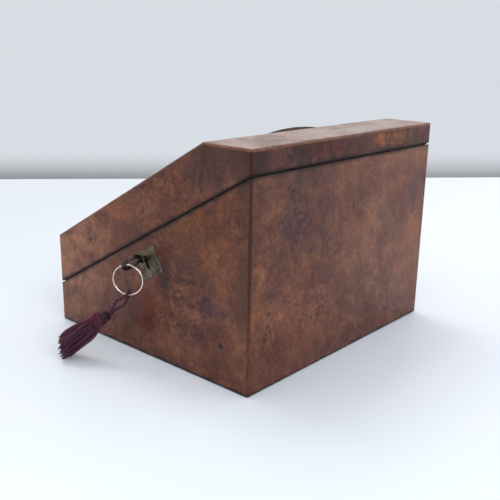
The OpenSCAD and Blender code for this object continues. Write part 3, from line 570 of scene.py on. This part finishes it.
def carcase_wood(name, offset, squeeze):
    """Straight-grained carcase wood: noise drawn out along its grain, and painted shade on its outer edges,
    seen in the seam's gap under the veneer.
    """
    made, tree, shader = material(name)
    here = shaken(tree, vectors(tree, "ADD", on_piece(tree), offset), 12, 2, 0.5, 0.004)
    along = vectors(tree, "MULTIPLY", here, squeeze)
    grain = fade(tree, noise(tree, along, 330, 4, 0.65), 0.3, 0.7)
    rings = fade(tree, noise(tree, along, 60, 2, 0.5), 0.35, 0.65)
    pores = fade(tree, noise(tree, along, 1500, 1, 0.5), 0.62, 0.7)
    tone = sums(tree, "ADD", times(tree, grain, 0.5), times(tree, rings, 0.5))
    colour = mixed(tree, tone, CARCASE_DARK, CARCASE_LIGHT)
    colour = stained(tree, colour, pores, 0.35, tuple(v * 0.3 for v in CARCASE_DARK))
    # Painted shade on the boards' outer edges, where they show in the seam's gap.
    xyz = split(tree, on_piece(tree))
    edges = []
    for axis, half in (("X", HALF_W), ("Y", HALF_D)):
        out = sums(tree, "ABSOLUTE", xyz[axis])
        edges.append(fade(tree, out, half - BOARD_GAP_SHADE, half - BOARD_GAP_SHADE_CORE))
    colour = mixed(tree, sums(tree, "MAXIMUM", *edges), colour, DIRT_AND_PAINTED_SHADE)
    feed(tree, shader.inputs["Base Color"], colour)
    feed(tree, shader.inputs["Roughness"], fade(tree, grain, 0, 1, 0.5, 0.66))
    relief(tree, shader, grain, 0.12 * MM, 0.6)
    return made


def baize(name):
    """Green baize: short felted fibres from two sizes of noise."""
    made, tree, shader = material(name)
    felt = noise(tree, on_piece(tree), 900, 5, 0.7)
    worn = fade(tree, noise(tree, on_piece(tree), 30, 4, 0.6), 0.35, 0.7)
    colour = mixed(tree, fade(tree, felt, 0.3, 0.7), BAIZE_DEEP, BAIZE_GREEN)
    feed(tree, shader.inputs["Base Color"], stained(tree, colour, worn, 0.35, BAIZE_WORN))
    shader.inputs["Roughness"].default_value = 0.95
    shader.inputs["Sheen Weight"].default_value = 0.3
    relief(tree, shader, felt, 0.4 * MM, 0.8)
    return made


def old_metal(name, clean, tarnish, dirt, rough, share, scale):
    """Handled metal: bright where rubbed, tarnished in clouds, dirty in specks, with fine scratches."""
    made, tree, shader = material(name)
    here = on_piece(tree)
    cloud = fade(tree, noise(tree, here, scale, 5, 0.65), 0.62 - 0.4 * share, 0.9 - 0.4 * share)
    speck = fade(tree, noise(tree, here, scale * 6, 3, 0.6), 0.6, 0.72)
    scratch = place_group(tree, "scratches", {"Scale": scale * 0.7, "Amount": 1.0})["Lines"]
    colour = stained(tree, mixed(tree, cloud, clean, tarnish), speck, 0.6, dirt)
    feed(tree, shader.inputs["Base Color"], stained(tree, colour, scratch, 0.35, clean))
    dull = fade(tree, cloud, 0, 1, *rough)
    feed(tree, shader.inputs["Roughness"], sums(tree, "ADD", dull, times(tree, speck, 0.2)))
    shader.inputs["Metallic"].default_value = 1.0
    height = sums(tree, "SUBTRACT", times(tree, cloud, 0.4), times(tree, scratch, 0.6))
    relief(tree, shader, height, 0.05 * MM, 0.5)
    return made


def silk(name, light, dark):
    """Dyed silk: threads that differ in colour, from an attribute that gives each thread its own number."""
    made, tree, shader = material(name)
    own = put(tree, "ShaderNodeAttribute", attribute_name="thread").outputs["Fac"]
    fine = noise(tree, on_piece(tree), 900, 3, 0.6)
    tone = sums(tree, "ADD", times(tree, own, 0.7), times(tree, fine, 0.4), clamp=True)
    feed(tree, shader.inputs["Base Color"], mixed(tree, tone, dark, light))
    feed(tree, shader.inputs["Roughness"], fade(tree, fine, 0.2, 0.8, 0.45, 0.7))
    shader.inputs["Sheen Weight"].default_value = 0.12
    shader.inputs["Sheen Roughness"].default_value = 0.4
    shader.inputs["IOR"].default_value = 1.35
    relief(tree, shader, fine, 0.1 * MM, 0.5)
    return made


# ---- tassel, cord and ring ----

BOW_OUT = 12.2 * MM
BOW_R = 6 * MM
BOW_RIM_R = 1.3 * MM
KEY_REST = math.radians(22)
RING_R = 10.1 * MM
WIRE_R = 0.42 * MM
TURN_OFF = 0.9 * WIRE_R
RING_EASE = 0.48 * MM
RING_YAW = math.radians(30)
TASSEL_AZ = math.radians(-50)
CORD_DROP, TASSEL_DROP = math.radians(46), math.radians(38)
LOOP_LEN = 15.5 * MM
CORD_D = 1.7 * MM
STRAND_R, STRAND_OUT, STRAND_TURN = 0.54 * MM, 0.5 * MM, 3.4 * MM
LOOSE = 0.3 * MM
KNOT_R = 2.2 * MM
COLLAR_LAP = 0.4 * MM
COLLAR_LEN, COLLAR_R = 4.5 * MM, 3.5 * MM
HEAD_LEN, HEAD_R = 8 * MM, 4.6 * MM
SKIRT_LEN, SKIRT_R = 29 * MM, 8.3 * MM
SKIRT_LAP = 1.5 * MM

HANG = on_rim(HALF_W + BOW_OUT, KEY_U - BOW_R * math.cos(KEY_REST), KEY_V - BOW_R * math.sin(KEY_REST))
RING_MID = HANG + np.array([0, 0, BOW_RIM_R + WIRE_R + RING_EASE - RING_R])
RING_LOW = RING_MID - np.array([0, 0, RING_R])
RING_DIR = np.array([math.cos(RING_YAW), math.sin(RING_YAW), 0])
CORD_DIR, TASSEL_DIR = (
    np.array([math.cos(drop) * math.cos(TASSEL_AZ), math.cos(drop) * math.sin(TASSEL_AZ), -math.sin(drop)])
    for drop in (CORD_DROP, TASSEL_DROP)
)
TASSEL_SIDE = unit(np.cross((0, 0, 1), TASSEL_DIR))
TASSEL_UP = np.cross(TASSEL_DIR, TASSEL_SIDE)
NECK = 0.86 * HEAD_R
KNOT_AT = RING_LOW + CORD_DIR * (LOOP_LEN + LOOSE + KNOT_R)
KNOT_END = KNOT_R - COLLAR_LAP
HEAD_Z = KNOT_END + COLLAR_LEN
SKIRT_Z = HEAD_Z + HEAD_LEN


def around_tassel(a):
    """Directions square to the tassel's axis: side * cos a + up * sin a."""
    return TASSEL_SIDE * np.cos(a)[..., None] + TASSEL_UP * np.sin(a)[..., None]


def thread_numbers(piece, values):
    """Gives each point its thread's own number for the silk's colour."""
    attribute = piece.data.attributes.new("thread", "FLOAT", "POINT")
    attribute.data.foreach_set("value", np.asarray(values, np.float32).ravel())


def spline(rows, count):
    """Catmull-Rom curve through rows: count points spread evenly over its spans."""
    rows = np.asarray(rows, float)
    padded = np.concatenate([[2 * rows[0] - rows[1]], rows, [2 * rows[-1] - rows[-2]]])
    t = np.linspace(0, len(rows) - 1 - 1e-9, count)
    k = t.astype(int)
    f = (t - k)[:, None]
    a, b, c, d = (padded[k + n] for n in range(4))
    return b + 0.5 * f * (c - a + f * (2 * a - 5 * b + 4 * c - d + f * (3 * (b - c) + d - a)))


def make_ring(metal):
    """Split ring: one wire wound twice round, stepping across to its second turn where the ends lap.

    path(t) = middle + R * (side * sin a + up * cos a) + across * shift(t), a = 2 pi t, t from 0 to 2.
    """
    t = np.linspace(0, 2, 241)
    turn = 2 * np.pi * t
    half_gap = 0.38 * MM
    shift = -half_gap + 2 * half_gap * np.clip((t - 0.93) / 0.14, 0, 1)
    up = np.array([0, 0, 1.0])
    side = np.cross(up, RING_DIR)
    around = side * np.sin(turn)[:, None] + up * np.cos(turn)[:, None]
    path = RING_MID + RING_R * around + RING_DIR * shift[:, None]
    filed_end = 0.55
    size = WIRE_R * np.clip(np.minimum(t, 2 - t) * 60 + filed_end, filed_end, 1.0)
    points, faces = closed_grid(tube_grid(path, size, 12, guide=RING_DIR))
    return mesh_piece("split_ring", points, faces, metal, "ring", ["key_ring"])


def make_cord(thread):
    """Doubled cord laid from three strands: each winds round the route at a third of a turn from the next.

    A row of the route is (share of the loop's length, across the ring, opening, past the ring's wire). The
    last three count in steps of the room that the cord needs to pass round the wire.
    """
    room = TURN_OFF + WIRE_R + 2 * LOOSE + CORD_D / 2
    rows = np.array([
        (1, 0.4, 0.15, 0),
        (0.85, 0.45, 0.55, 0),
        (0.7, 0.55, 0.95, 0),
        (0.5, 0.8, 1.1, 0),
        (0.3, 1.1, 0.75, 0),
        (0.15, 1.2, 0.35, 0.05),
        (0.05, 1.05, 0.1, 0.3),
        (0, 0.75, 0, 0.8),
        (0, 0, 0, 1.1),
    ])
    both = np.concatenate([rows, rows[-2::-1] * (1, -1, -1, 1)])
    opening = unit(np.cross(CORD_DIR, RING_DIR))
    ways = np.array([CORD_DIR * LOOP_LEN / room, RING_DIR, opening, (0, 0, 1)]) * room
    stops = RING_LOW + both @ ways
    stops[[0, -1]] += CORD_DIR * 1.5 * MM
    route = spline(stops, 150)
    ahead = unit(np.gradient(route, axis=0))
    across = unit(np.cross(ahead, opening))
    over = np.cross(ahead, across)
    far = np.concatenate([[0], np.cumsum(np.linalg.norm(np.diff(route, axis=0), axis=1))])
    sides = 8
    grids, own = [], []
    for k in range(3):
        turn = (far / STRAND_TURN + k / 3) * 2 * np.pi
        path = route + STRAND_OUT * (across * np.cos(turn)[:, None] + over * np.sin(turn)[:, None])
        grids.append(tube_grid(path, STRAND_R, sides, guide=opening))
        own.append(np.full(len(path) * sides + 2, 0.15 + 0.3 * k))
    points, faces = joined(grids)
    piece = mesh_piece("loop_cord", points, faces, thread, "cord", ["tassel_loop"])
    thread_numbers(piece, np.concatenate(own))
    return piece


def make_knot(thread):
    """Overhand knot: a tube along a trefoil, x = sin t + 2 sin 2t, y = cos t - 2 cos 2t, z = -sin 3t.

    A small turned core fills its middle.
    """
    flat, deep, cord_r = 0.5 * MM, 0.9 * MM, 0.72 * MM
    t = np.linspace(0, 2 * np.pi, 121)[:-1]
    x, y = np.sin(t) + 2 * np.sin(2 * t), np.cos(t) - 2 * np.cos(2 * t)
    path = KNOT_AT + flat * (TASSEL_SIDE * x[:, None] + TASSEL_UP * y[:, None])
    path = path - deep * np.sin(3 * t)[:, None] * TASSEL_DIR
    grid = tube_grid(path, cord_r, 10, closed=True, guide=TASSEL_DIR + 0.2)
    rows, columns = grid.shape[:2]
    faces = grid_faces(rows + 1, columns) % (rows * columns)
    points = grid.reshape(-1, 3)
    core_along = np.array([-1.9, -1.4, 0, 1.4, 1.9]) * MM
    core_r = np.array([0.6, 1.1, 1.5, 1.1, 0.6]) * MM
    core, core_faces = closed_grid(lathe_grid(KNOT_AT, TASSEL_DIR, core_along, core_r, 16), len(points))
    points = np.concatenate([points, core])
    faces = faces.tolist() + core_faces
    piece = mesh_piece("cord_knot", points, faces, thread, "tassel", ["tassel_knot"])
    thread_numbers(piece, np.full(len(points), 0.3))
    return piece


def make_binding(thread):
    """Collar whipped with fine thread: radius = R * barrel(v) + ridge * |cos(pi * turns passed)|."""
    turns, ridge = 9, 0.28 * MM
    v = np.linspace(0, 1, turns * 8 + 1)[:, None]
    a = np.linspace(0, 2 * np.pi, 48, endpoint=False)[None]
    barrel = 1 - 0.2 * (2 * v - 1) ** 4
    radius = COLLAR_R * barrel + ridge * np.abs(np.cos(np.pi * (turns * v + a / (2 * np.pi))))
    along = KNOT_END + COLLAR_LEN * v
    grid = KNOT_AT + TASSEL_DIR * along[..., None] + radius[..., None] * around_tassel(a)
    points, faces = closed_grid(grid)
    piece = mesh_piece("collar_binding", points, faces, thread, "tassel", ["tassel_collar"])
    thread_numbers(piece, np.full(len(points), 0.2))
    return piece


def make_head(thread):
    """Head: threads folded over into a bulge, radius * (1 + ribs), the ribs twisting a little on their way.

    Its threads carry a painted highlight where they face up, and painted shade in the grooves between the
    ribs.
    """
    ribs, twist = 15, 0.5
    v = np.linspace(0, 1, 25)[:, None]
    a = np.linspace(0, 2 * np.pi, 120, endpoint=False)[None]
    bulge = np.interp(v, [0, 0.12, 0.3, 0.5, 0.75, 1], [0.80, 0.93, 1.0, 0.99, 0.92, 0.86])
    rib = np.abs(np.sin(ribs * (a + twist * v)))
    radius = HEAD_R * bulge * (0.98 + 0.07 * rib)
    grid = KNOT_AT + TASSEL_DIR * (HEAD_Z + HEAD_LEN * v)[..., None] + radius[..., None] * around_tassel(a)
    points, faces = closed_grid(grid)
    piece = mesh_piece("tassel_top", points, faces, thread, "tassel", ["tassel_head"])
    # Painted light: bright on the upper side of the head, painted shade in the grooves between ribs.
    painted_light_on_top = np.clip(2.4 * np.sin(a - 0.2) - 1.4, 0.08, 1)
    own = np.broadcast_to(painted_light_on_top * (0.5 + 0.5 * rib), grid.shape[:2])
    thread_numbers(piece, np.concatenate([own.ravel(), [0.4, 0.4]]))
    return piece


def strands(paths, thick, sides):
    """Round tubes along many paths at once, tapered at their tips, as one set of points and faces."""
    count, stations = paths.shape[:2]
    ahead = unit(np.gradient(paths, axis=1))
    across = unit(np.cross(ahead, (0.02, 0.01, 1)))
    over = np.cross(ahead, across)
    a = np.linspace(0, 2 * np.pi, sides, endpoint=False)[:, None]
    taper = np.interp(np.linspace(0, 1, stations), [0, 0.88, 1], [1, 1, 0.4])
    size = np.broadcast_to(thick, (count,))[:, None, None, None] * taper[None, :, None, None]
    grid = paths[:, :, None] + size * (across[:, :, None] * np.cos(a) + over[:, :, None] * np.sin(a))
    base = np.arange(count)[:, None, None] * stations * sides
    walls = (grid_faces(stations, sides)[None] + base).reshape(-1, 4)
    first = np.arange(sides)[None, ::-1] + base[:, :, 0]
    last = np.arange(sides)[None] + (stations - 1) * sides + base[:, :, 0]
    return grid, walls.tolist() + first.tolist() + last.tolist()


def make_skirt(thread):
    """Skirt: threads clung together in tufts that leave the head evenly (golden-angle spread) and widen.

    A tuft's way out is the skirt's outline times its share of the bundle; its threads spread about it and
    close to a point at its tip. The lower tufts are longer. A floor under the skirt holds the threads up:
    height = max(height, thread), and the height they lose is turned into sideways spread.
    """
    rng = np.random.default_rng(11)
    tufts, each, stations, sides = 48, 12, 15, 5
    golden_angle = 2.39996
    order = np.arange(tufts)
    share = np.sqrt((order + 0.6) / tufts) * 1.02
    angle = order * golden_angle + rng.uniform(-0.15, 0.15, tufts)
    t = np.linspace(0, 1, stations)
    opened = np.interp(t, [0, 0.12, 0.3, 0.5, 0.75, 1], [0, 0.35, 0.75, 0.97, 1, 1])
    way = NECK * (1 - opened) + (SKIRT_R - 0.9 * MM) * opened
    wander = rng.normal(0, 0.45, (tufts, 2, 3)) * MM
    phase = np.pi * t[None, None, :, None] * np.array([1.0, 1.8, 2.9])
    drift = (wander[:, :, None, :] * np.sin(phase)).sum(-1)
    side = share[:, None] * way * np.cos(angle)[:, None] + drift[:, 0]
    up = share[:, None] * way * np.sin(angle)[:, None] + drift[:, 1]
    cling = np.interp(t, [0, 0.3, 0.8, 1], [0.8, 1.1, 0.95, 0.35])
    spread = rng.normal(0, 0.42, (2, tufts, each)) * MM
    side = side[:, None] + spread[0][..., None] * cling
    up = up[:, None] + spread[1][..., None] * cling
    limit = np.minimum(1, (way + 0.7 * MM) / np.maximum(np.hypot(side, up), 1e-6))
    side, up = side * limit, up * limit
    sag = 1.3 * MM * np.clip(-np.sin(angle), 0, 1) * share
    up = up - (sag[:, None] * np.sin(np.pi * np.minimum(1.25 * t, 1)))[:, None]
    skew = -0.15 * share * np.sin(angle) + rng.uniform(-0.07, 0.02, tufts)
    length = SKIRT_LEN * (1 + skew[:, None] - rng.uniform(0, 0.05, (tufts, each)))
    along = SKIRT_Z - SKIRT_LAP + (length[..., None] + SKIRT_LAP) * t
    path = KNOT_AT + TASSEL_DIR * along[..., None]
    path = path + TASSEL_SIDE * side[..., None] + TASSEL_UP * up[..., None]
    path = path.reshape(-1, stations, 3)
    thick = rng.uniform(0.27, 0.38, len(path)) * MM
    floor = thick + rng.uniform(0, 1.2, len(path)) * MM * np.repeat(share, each)
    lift = np.maximum(floor[:, None] - path[..., 2], 0)
    path[..., 2] += lift
    path += TASSEL_SIDE * (np.sign(side.reshape(-1, stations)) * lift * 0.3)[..., None]
    grid, faces = strands(path, thick, sides)
    grid[..., 2] = np.maximum(grid[..., 2], 0.05 * MM)
    piece = mesh_piece("tassel_threads", grid, faces, thread, "tassel", ["tassel_skirt"])
    own = np.repeat(rng.uniform(0, 1, tufts), each) * 0.6 + rng.uniform(0, 0.4, len(path))
    thread_numbers(piece, np.repeat(np.clip(own, 0, 1), stations * sides))
    return piece


def make_ruff(thread):
    """Ruff: short threads stand off the head and bend back: out = rise * sin(pi t), along = reach * t."""
    rng = np.random.default_rng(5)
    count, stations, sides, thread_r = 120, 9, 5, 0.24 * MM
    angle = 1.7 + rng.normal(0, 0.45, count)
    t = np.linspace(0, 1, stations)
    rise = rng.uniform(0.3, 1.0, count) * 1.7 * MM * (0.6 + 0.4 * np.sin(angle))
    out = HEAD_R * 0.8 + 0.2 * MM + rise[:, None] * np.sin(np.pi * t) + HEAD_R * 0.16 * t
    start = rng.uniform(0, 0.55, count)[:, None] * HEAD_LEN
    along = HEAD_Z + start + rng.uniform(0.3, 0.5, count)[:, None] * HEAD_LEN * t
    turn = angle[:, None] + rng.uniform(-0.35, 0.35, count)[:, None] * t
    path = KNOT_AT + TASSEL_DIR * along[..., None] + around_tassel(turn) * out[..., None]
    grid, faces = strands(path, thread_r, sides)
    piece = mesh_piece("tassel_ruff", grid, faces, thread, "tassel")
    thread_numbers(piece, np.repeat(rng.uniform(0.3, 1, count), stations * sides))
    return piece


# ---- the scene ----

for make_effect in (make_burr_figure, make_patch, make_handling, make_scratches):
    make_effect()

# Patches: centre and half-axes in millimetres, colour, strength, how ragged, and how far in it is full.
LOCK_PATCHES = [
    # The three honey patches at the front end of the lock side are a painted sheen: the pale table's
    # reflection at a grazing view.
    ((101, -64, 76), (8, 36, 20), HONEY_AND_SHEEN, 0.6, 0.7, 0.3),
    ((101, -92, 40), (8, 30, 60), HONEY_AND_SHEEN, 0.6, 0.4, 0.45),
    ((101, -58, 36), (8, 20, 22), HONEY_AND_SHEEN, 0.35, 0.6, 0.2),
    ((101, -18, 96), (8, 24, 12), ORANGE, 0.5, 1.0, 0.0),
    ((101, 46, 94), (8, 38, 24), ORANGE, 0.75, 0.8, 0.25),
    ((101, 18, 117), (8, 16, 10), ORANGE, 0.5, 0.9, 0.0),
    ((101, 66, 27), (8, 9, 8), ORANGE, 0.5, 0.9, 0.1),
    ((101, 34, 5), (8, 26, 11), STAIN_AND_SHADE, 0.65, 0.7, 0.35),
    ((101, 62, 133), (8, 28, 14), PURPLE, 0.95, 0.5, 0.5),
    ((101, 88, 138), (8, 16, 22), STAIN_AND_SHADE, 0.85, 0.5, 0.35),
    ((101, 72, 147), (8, 34, 14), STAIN_AND_SHADE, 0.95, 0.4, 0.55),
    ((101, -2, 32), (8, 16, 19), DEEP_RED, 0.85, 0.35, 0.7),
    ((101, 21, 60), (8, 8, 22), STAIN_AND_SHADE, 0.85, 0.6, 0.2),
    ((101, 43, 29), (8, 13, 12), PURPLE, 0.5, 0.5, 0.3),
    ((101, 66, 49), (8, 20, 8), PURPLE, 0.9, 1.0, 0.45),
    ((101, 36, 57), (8, 8, 2.4), ORANGE, 0.9, 1.6, 0.2),
    ((101, 31, 51), (8, 6, 2.0), ORANGE, 0.7, 1.8, 0.2),
    ((101, 42, 62), (8, 9, 2.2), STAIN_AND_SHADE, 0.75, 1.8, 0.2),
    ((101, 60, 64), (8, 14, 9), STAIN_AND_SHADE, 0.5, 1.5, 0.1),
    ((101, 87, 60), (8, 14, 30), STAIN_AND_SHADE, 0.65, 0.6, 0.3),
    ((101, -55, 70), (8, 5, 2.2), STAIN_AND_SHADE, 0.9, 1.2, 0.3),
    ((101, -4, 86), (8, 7, 6), STAIN_AND_SHADE, 0.3, 1.6, 0.3),
    ((101, 71.5, 27.2), (2, 2.0, 2.7), PLUG, 1.0, 0.05, 0.75),
]
BACK_PATCHES = [
    ((95, 94, 60), (11, 8, 44), ORANGE, 0.55, 1.0, 0.0),
    ((92, 94, 72), (5, 8, 12), HONEY_AND_SHEEN, 0.3, 1.3, 0.0),
    ((92, 94, 46), (8, 8, 10), STAIN_AND_SHADE, 0.4, 0.9, 0.1),
    ((61, 94, 106), (20, 8, 22), PURPLE, 0.85, 0.9, 0.25),
    ((62, 94, 130), (56, 8, 12), STAIN_AND_SHADE, 0.6, 0.6, 0.4),
    ((34, 94, 114), (9, 8, 20), PURPLE, 0.6, 1.2, 0.1),
    ((-48, 94, 48), (30, 8, 20), PURPLE, 0.2, 1.2, 0.1),
    ((38, 94, 75), (26, 8, 7), ORANGE, 0.6, 1.4, 0.1),
    ((-24, 94, 66), (34, 8, 54), HONEY_AND_SHEEN, 0.28, 0.9, 0.2),
    ((-4, 94, 28), (24, 8, 18), HONEY_AND_SHEEN, 0.25, 0.9, 0.0),
    ((-80, 94, 60), (26, 8, 46), ORANGE, 0.3, 0.9, 0.1),
    ((70, 94, 32), (16, 8, 18), ORANGE, 0.35, 1.1, 0.1),
    ((40, 94, 6), (30, 8, 12), STAIN_AND_SHADE, 0.5, 0.7, 0.3),
]
LID_BACK_PATCHES = [
    ((0, 94, 142), (150, 8, 12), STAIN_AND_SHADE, 0.85, 0.3, 0.6),
    ((78, 94, 142), (34, 8, 11), PURPLE, 1.0, 0.8, 0.4),
    ((24, 94, 143), (20, 8, 7), DEEP_RED, 0.75, 1.2, 0.1),
    ((-52, 94, 143), (32, 8, 8), ORANGE, 0.9, 1.3, 0.2),
    ((-84, 94, 143), (12, 8, 8), DEEP_RED, 0.6, 1.3, 0.1),
]

# Knots, where the burr is dense: centre and half-axes in millimetres.
LOCK_KNOTS = [
    ((101, 40, 54), (8, 28, 17)),
    ((101, 60, 130), (8, 30, 14)),
    ((101, -52, 74), (8, 9, 7)),
]
BACK_KNOTS = [
    ((30, 94, 78), (30, 8, 9)),
    ((58, 94, 106), (22, 8, 24)),
    ((84, 94, 40), (10, 8, 30)),
]
LID_BACK_KNOTS = [
    ((50, 94, 143), (46, 8, 9)),
    ((-60, 94, 143), (20, 8, 9)),
]

lock_walnut = veneer(
    "burr walnut, lock side",
    (0.31, 0.12, 0.05),
    LOCK_PATCHES,
    LOCK_KNOTS,
    burr=0.8,
    cloud=0.8,
    corner=12 * MM,
)
back_walnut = veneer(
    "burr walnut, back",
    (1.7, 0.42, 0.93),
    BACK_PATCHES,
    BACK_KNOTS,
    burr=0.6,
    cloud=0.85,
    corner=4 * MM,
)
lid_back_walnut = veneer(
    "burr walnut, lid back",
    (2.3, 0.7, 0.4),
    LID_BACK_PATCHES,
    LID_BACK_KNOTS,
    burr=0.7,
    cloud=0.7,
    corner=4 * MM,
    polish=1.26,
)
hinge_walnut = veneer("burr walnut, hinge side", (2.9, 1.1, 0.2))
front_walnut = veneer("burr walnut, front", (0.9, 3.3, 0.6))
top_walnut = veneer("burr walnut, top strip", (4.1, 0.8, 1.4), burr=0.8, cloud=0.8, polish=1.42)
slope_walnut = veneer("burr walnut, slope", (5.2, 2.1, 2.4), burr=1.1, cloud=1.1, polish=1.38)
boards_x = carcase_wood("carcase wood, grain across", (0, 0, 0), squeeze=(0.06, 1.0, 1.0))
boards_y = carcase_wood("carcase wood, grain front to back", (1, 0, 0), squeeze=(1.0, 0.06, 1.0))
underlay = baize("green baize")

# Metals: clean, tarnished and dirty colours, roughness clean and tarnished, share and size of the tarnish.
plate_brass = old_metal(
    "old brass of the escutcheon",
    (0.165, 0.134, 0.094),
    (0.054, 0.047, 0.036),
    (0.022, 0.019, 0.015),
    (0.42, 0.62),
    0.6,
    260.0,
)
mount_metal = old_metal(
    "bronzed slot mount",
    (0.085, 0.064, 0.050),
    (0.040, 0.031, 0.026),
    (0.015, 0.012, 0.010),
    (0.45, 0.65),
    0.55,
    200.0,
)
dull_brass = old_metal(
    "dull brass", (0.60, 0.42, 0.18), (0.28, 0.19, 0.085), (0.06, 0.04, 0.02), (0.3, 0.5), 0.4, 180.0
)
screw_brass = old_metal(
    "brass screws", (0.66, 0.48, 0.22), (0.32, 0.22, 0.10), (0.06, 0.04, 0.02), (0.28, 0.45), 0.35, 400.0
)
lock_steel = old_metal(
    "lock steel", (0.46, 0.45, 0.44), (0.20, 0.18, 0.165), (0.08, 0.045, 0.03), (0.3, 0.5), 0.4, 240.0
)
key_iron = old_metal(
    "handled iron",
    (0.060, 0.055, 0.052),
    (0.024, 0.021, 0.020),
    (0.014, 0.010, 0.008),
    (0.32, 0.55),
    0.5,
    420.0,
)
ring_plate = old_metal(
    "worn plating", (0.80, 0.71, 0.68), (0.46, 0.36, 0.34), (0.16, 0.11, 0.09), (0.18, 0.35), 0.45, 500.0
)

crimson = silk("crimson silk", (0.088, 0.0095, 0.031), (0.015, 0.0045, 0.015))
head_silk = silk("crimson silk of the head", (0.150, 0.012, 0.034), (0.014, 0.004, 0.014))
bright_silk = silk("bright crimson silk", (0.165, 0.013, 0.031), (0.050, 0.006, 0.015))
cord_silk = silk("wine silk cord", (0.085, 0.010, 0.025), (0.014, 0.004, 0.010))
dark_thread = silk("dark wine binding thread", (0.050, 0.010, 0.022), (0.010, 0.004, 0.010))

FINISHES = (
    (boards_x, ("bottom_board", "back_board", "front_board")),
    (boards_x, ("lid_top_board", "lid_slope_board", "lid_back_rail", "lid_front_rail")),
    (boards_y, ("lock_side_board", "hinge_side_board", "lid_lock_side_board", "lid_hinge_side_board")),
    (back_walnut, ("back_veneer",)),
    (lid_back_walnut, ("lid_back_veneer",)),
    (front_walnut, ("front_veneer", "lid_front_veneer")),
    (lock_walnut, ("lock_side_veneer", "lid_lock_side_veneer")),
    (hinge_walnut, ("hinge_side_veneer", "lid_hinge_side_veneer")),
    (top_walnut, ("lid_top_veneer",)),
    (slope_walnut, ("lid_slope_veneer",)),
    (underlay, ("base_baize",)),
    (mount_metal, ("slot_mount",)),
    (plate_brass, ("escutcheon",)),
    (key_iron, ("key",)),
    (dull_brass, ("lock_case", "lock_cap", "lock_bolt", "link_plate")),
    (dull_brass, ("hinge_body_leaves", "hinge_lid_leaves")),
    (lock_steel, ("drill_pin", "bolt_spring", "hinge_pins")),
    (screw_brass, ("slot_pins", "lock_screws", "link_screws", "hinge_body_screws", "hinge_lid_screws")),
)
for finish, nodes in FINISHES:
    for node in nodes:
        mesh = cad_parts[node].data
        mesh.materials.clear()
        mesh.materials.append(finish)

make_ring(ring_plate)
make_cord(cord_silk)
make_knot(cord_silk)
make_binding(dark_thread)
make_head(head_silk)
make_ruff(bright_silk)
make_skirt(crimson)


def add_table():
    """Pale table: flat, with its far edge on the sight lines at that height of the frame.

    It is faintly clouded, and a painted shade darkens it evenly towards -Y.
    """
    left, right = table_point(*FAR_LEFT), table_point(*FAR_RIGHT)
    toward = CAMERA_AT - left
    toward.z = 0
    toward = toward.normalized() * TABLE_REACH
    made, tree, shader = material("pale table")
    here = on_piece(tree)
    clouds = fade(tree, noise(tree, here, 3, 3, 0.5), 0.3, 0.7)
    colour = mixed(tree, clouds, PALE_TABLE, CLOUDED_TABLE)
    # Painted shade: the table's colour darkens towards -Y.
    painted_table_shade = fade(tree, split(tree, here)["Y"], PAINTED_SHADE_FROM_Y, PAINTED_SHADE_TO_Y)
    feed(tree, shader.inputs["Base Color"], mixed(tree, painted_table_shade, colour, TABLE_PAINTED_SHADE))
    shader.inputs["Roughness"].default_value = 0.5
    shader.inputs["Specular IOR Level"].default_value = 0.3
    mesh = bpy.data.meshes.new("table")
    corners = [left, right, right + toward, left + toward]
    mesh.from_pydata([(p.x, p.y, 0) for p in corners], [], [(0, 1, 2, 3)])
    mesh.materials.append(made)
    table = bpy.data.objects.new("table", mesh)
    bpy.context.scene.collection.objects.link(table)


def light_the_room():
    """Even pale light from the room, a broad window high on the left and a weak fill.

    The wall is seen only straight or through glass. The painted shade at its foot lies level across the
    frame, because height is (up - sideways * tan roll) / ahead.
    """
    world = bpy.data.worlds.new("room")
    bpy.context.scene.world = world
    world.use_nodes = True
    tree = world.node_tree
    shine = tree.nodes["Background"]
    heading = put(tree, "ShaderNodeTexCoord").outputs["Generated"]
    c, s, lean = math.cos(CAMERA_AZ), math.sin(CAMERA_AZ), math.tan(CAMERA_ROLL)
    rise = vectors(tree, "DOT_PRODUCT", heading, (-lean * c, -lean * s, 1.0))
    ahead = vectors(tree, "DOT_PRODUCT", heading, (-s, c, 0.0))
    height = sums(tree, "DIVIDE", rise, sums(tree, "MAXIMUM", ahead, FOOT_SIDE))
    # Painted shade at the wall's foot, only ahead of the camera.
    foot = times(tree, fade(tree, height, FOOT_HIGH, FOOT_LOW), fade(tree, ahead, FOOT_SIDE, FOOT_FULL))
    wall = mixed(tree, foot, PALE_WALL, WALL_FOOT_PAINTED_SHADE)
    rays = put(tree, "ShaderNodeLightPath").outputs
    seen = sums(tree, "MAXIMUM", rays["Is Camera Ray"], rays["Is Transmission Ray"])
    room = mixed(tree, rays["Is Glossy Ray"], ROOM_ON_DULL, ROOM_ON_SHINY)
    feed(tree, shine.inputs["Color"], mixed(tree, seen, room, wall))
    shine.inputs["Strength"].default_value = 1.0
    add_lamp("window", *WINDOW)
    add_lamp("fill", *FILL)


bpy.context.scene.view_settings.view_transform = "Standard"
add_camera()
add_table()
light_the_room()
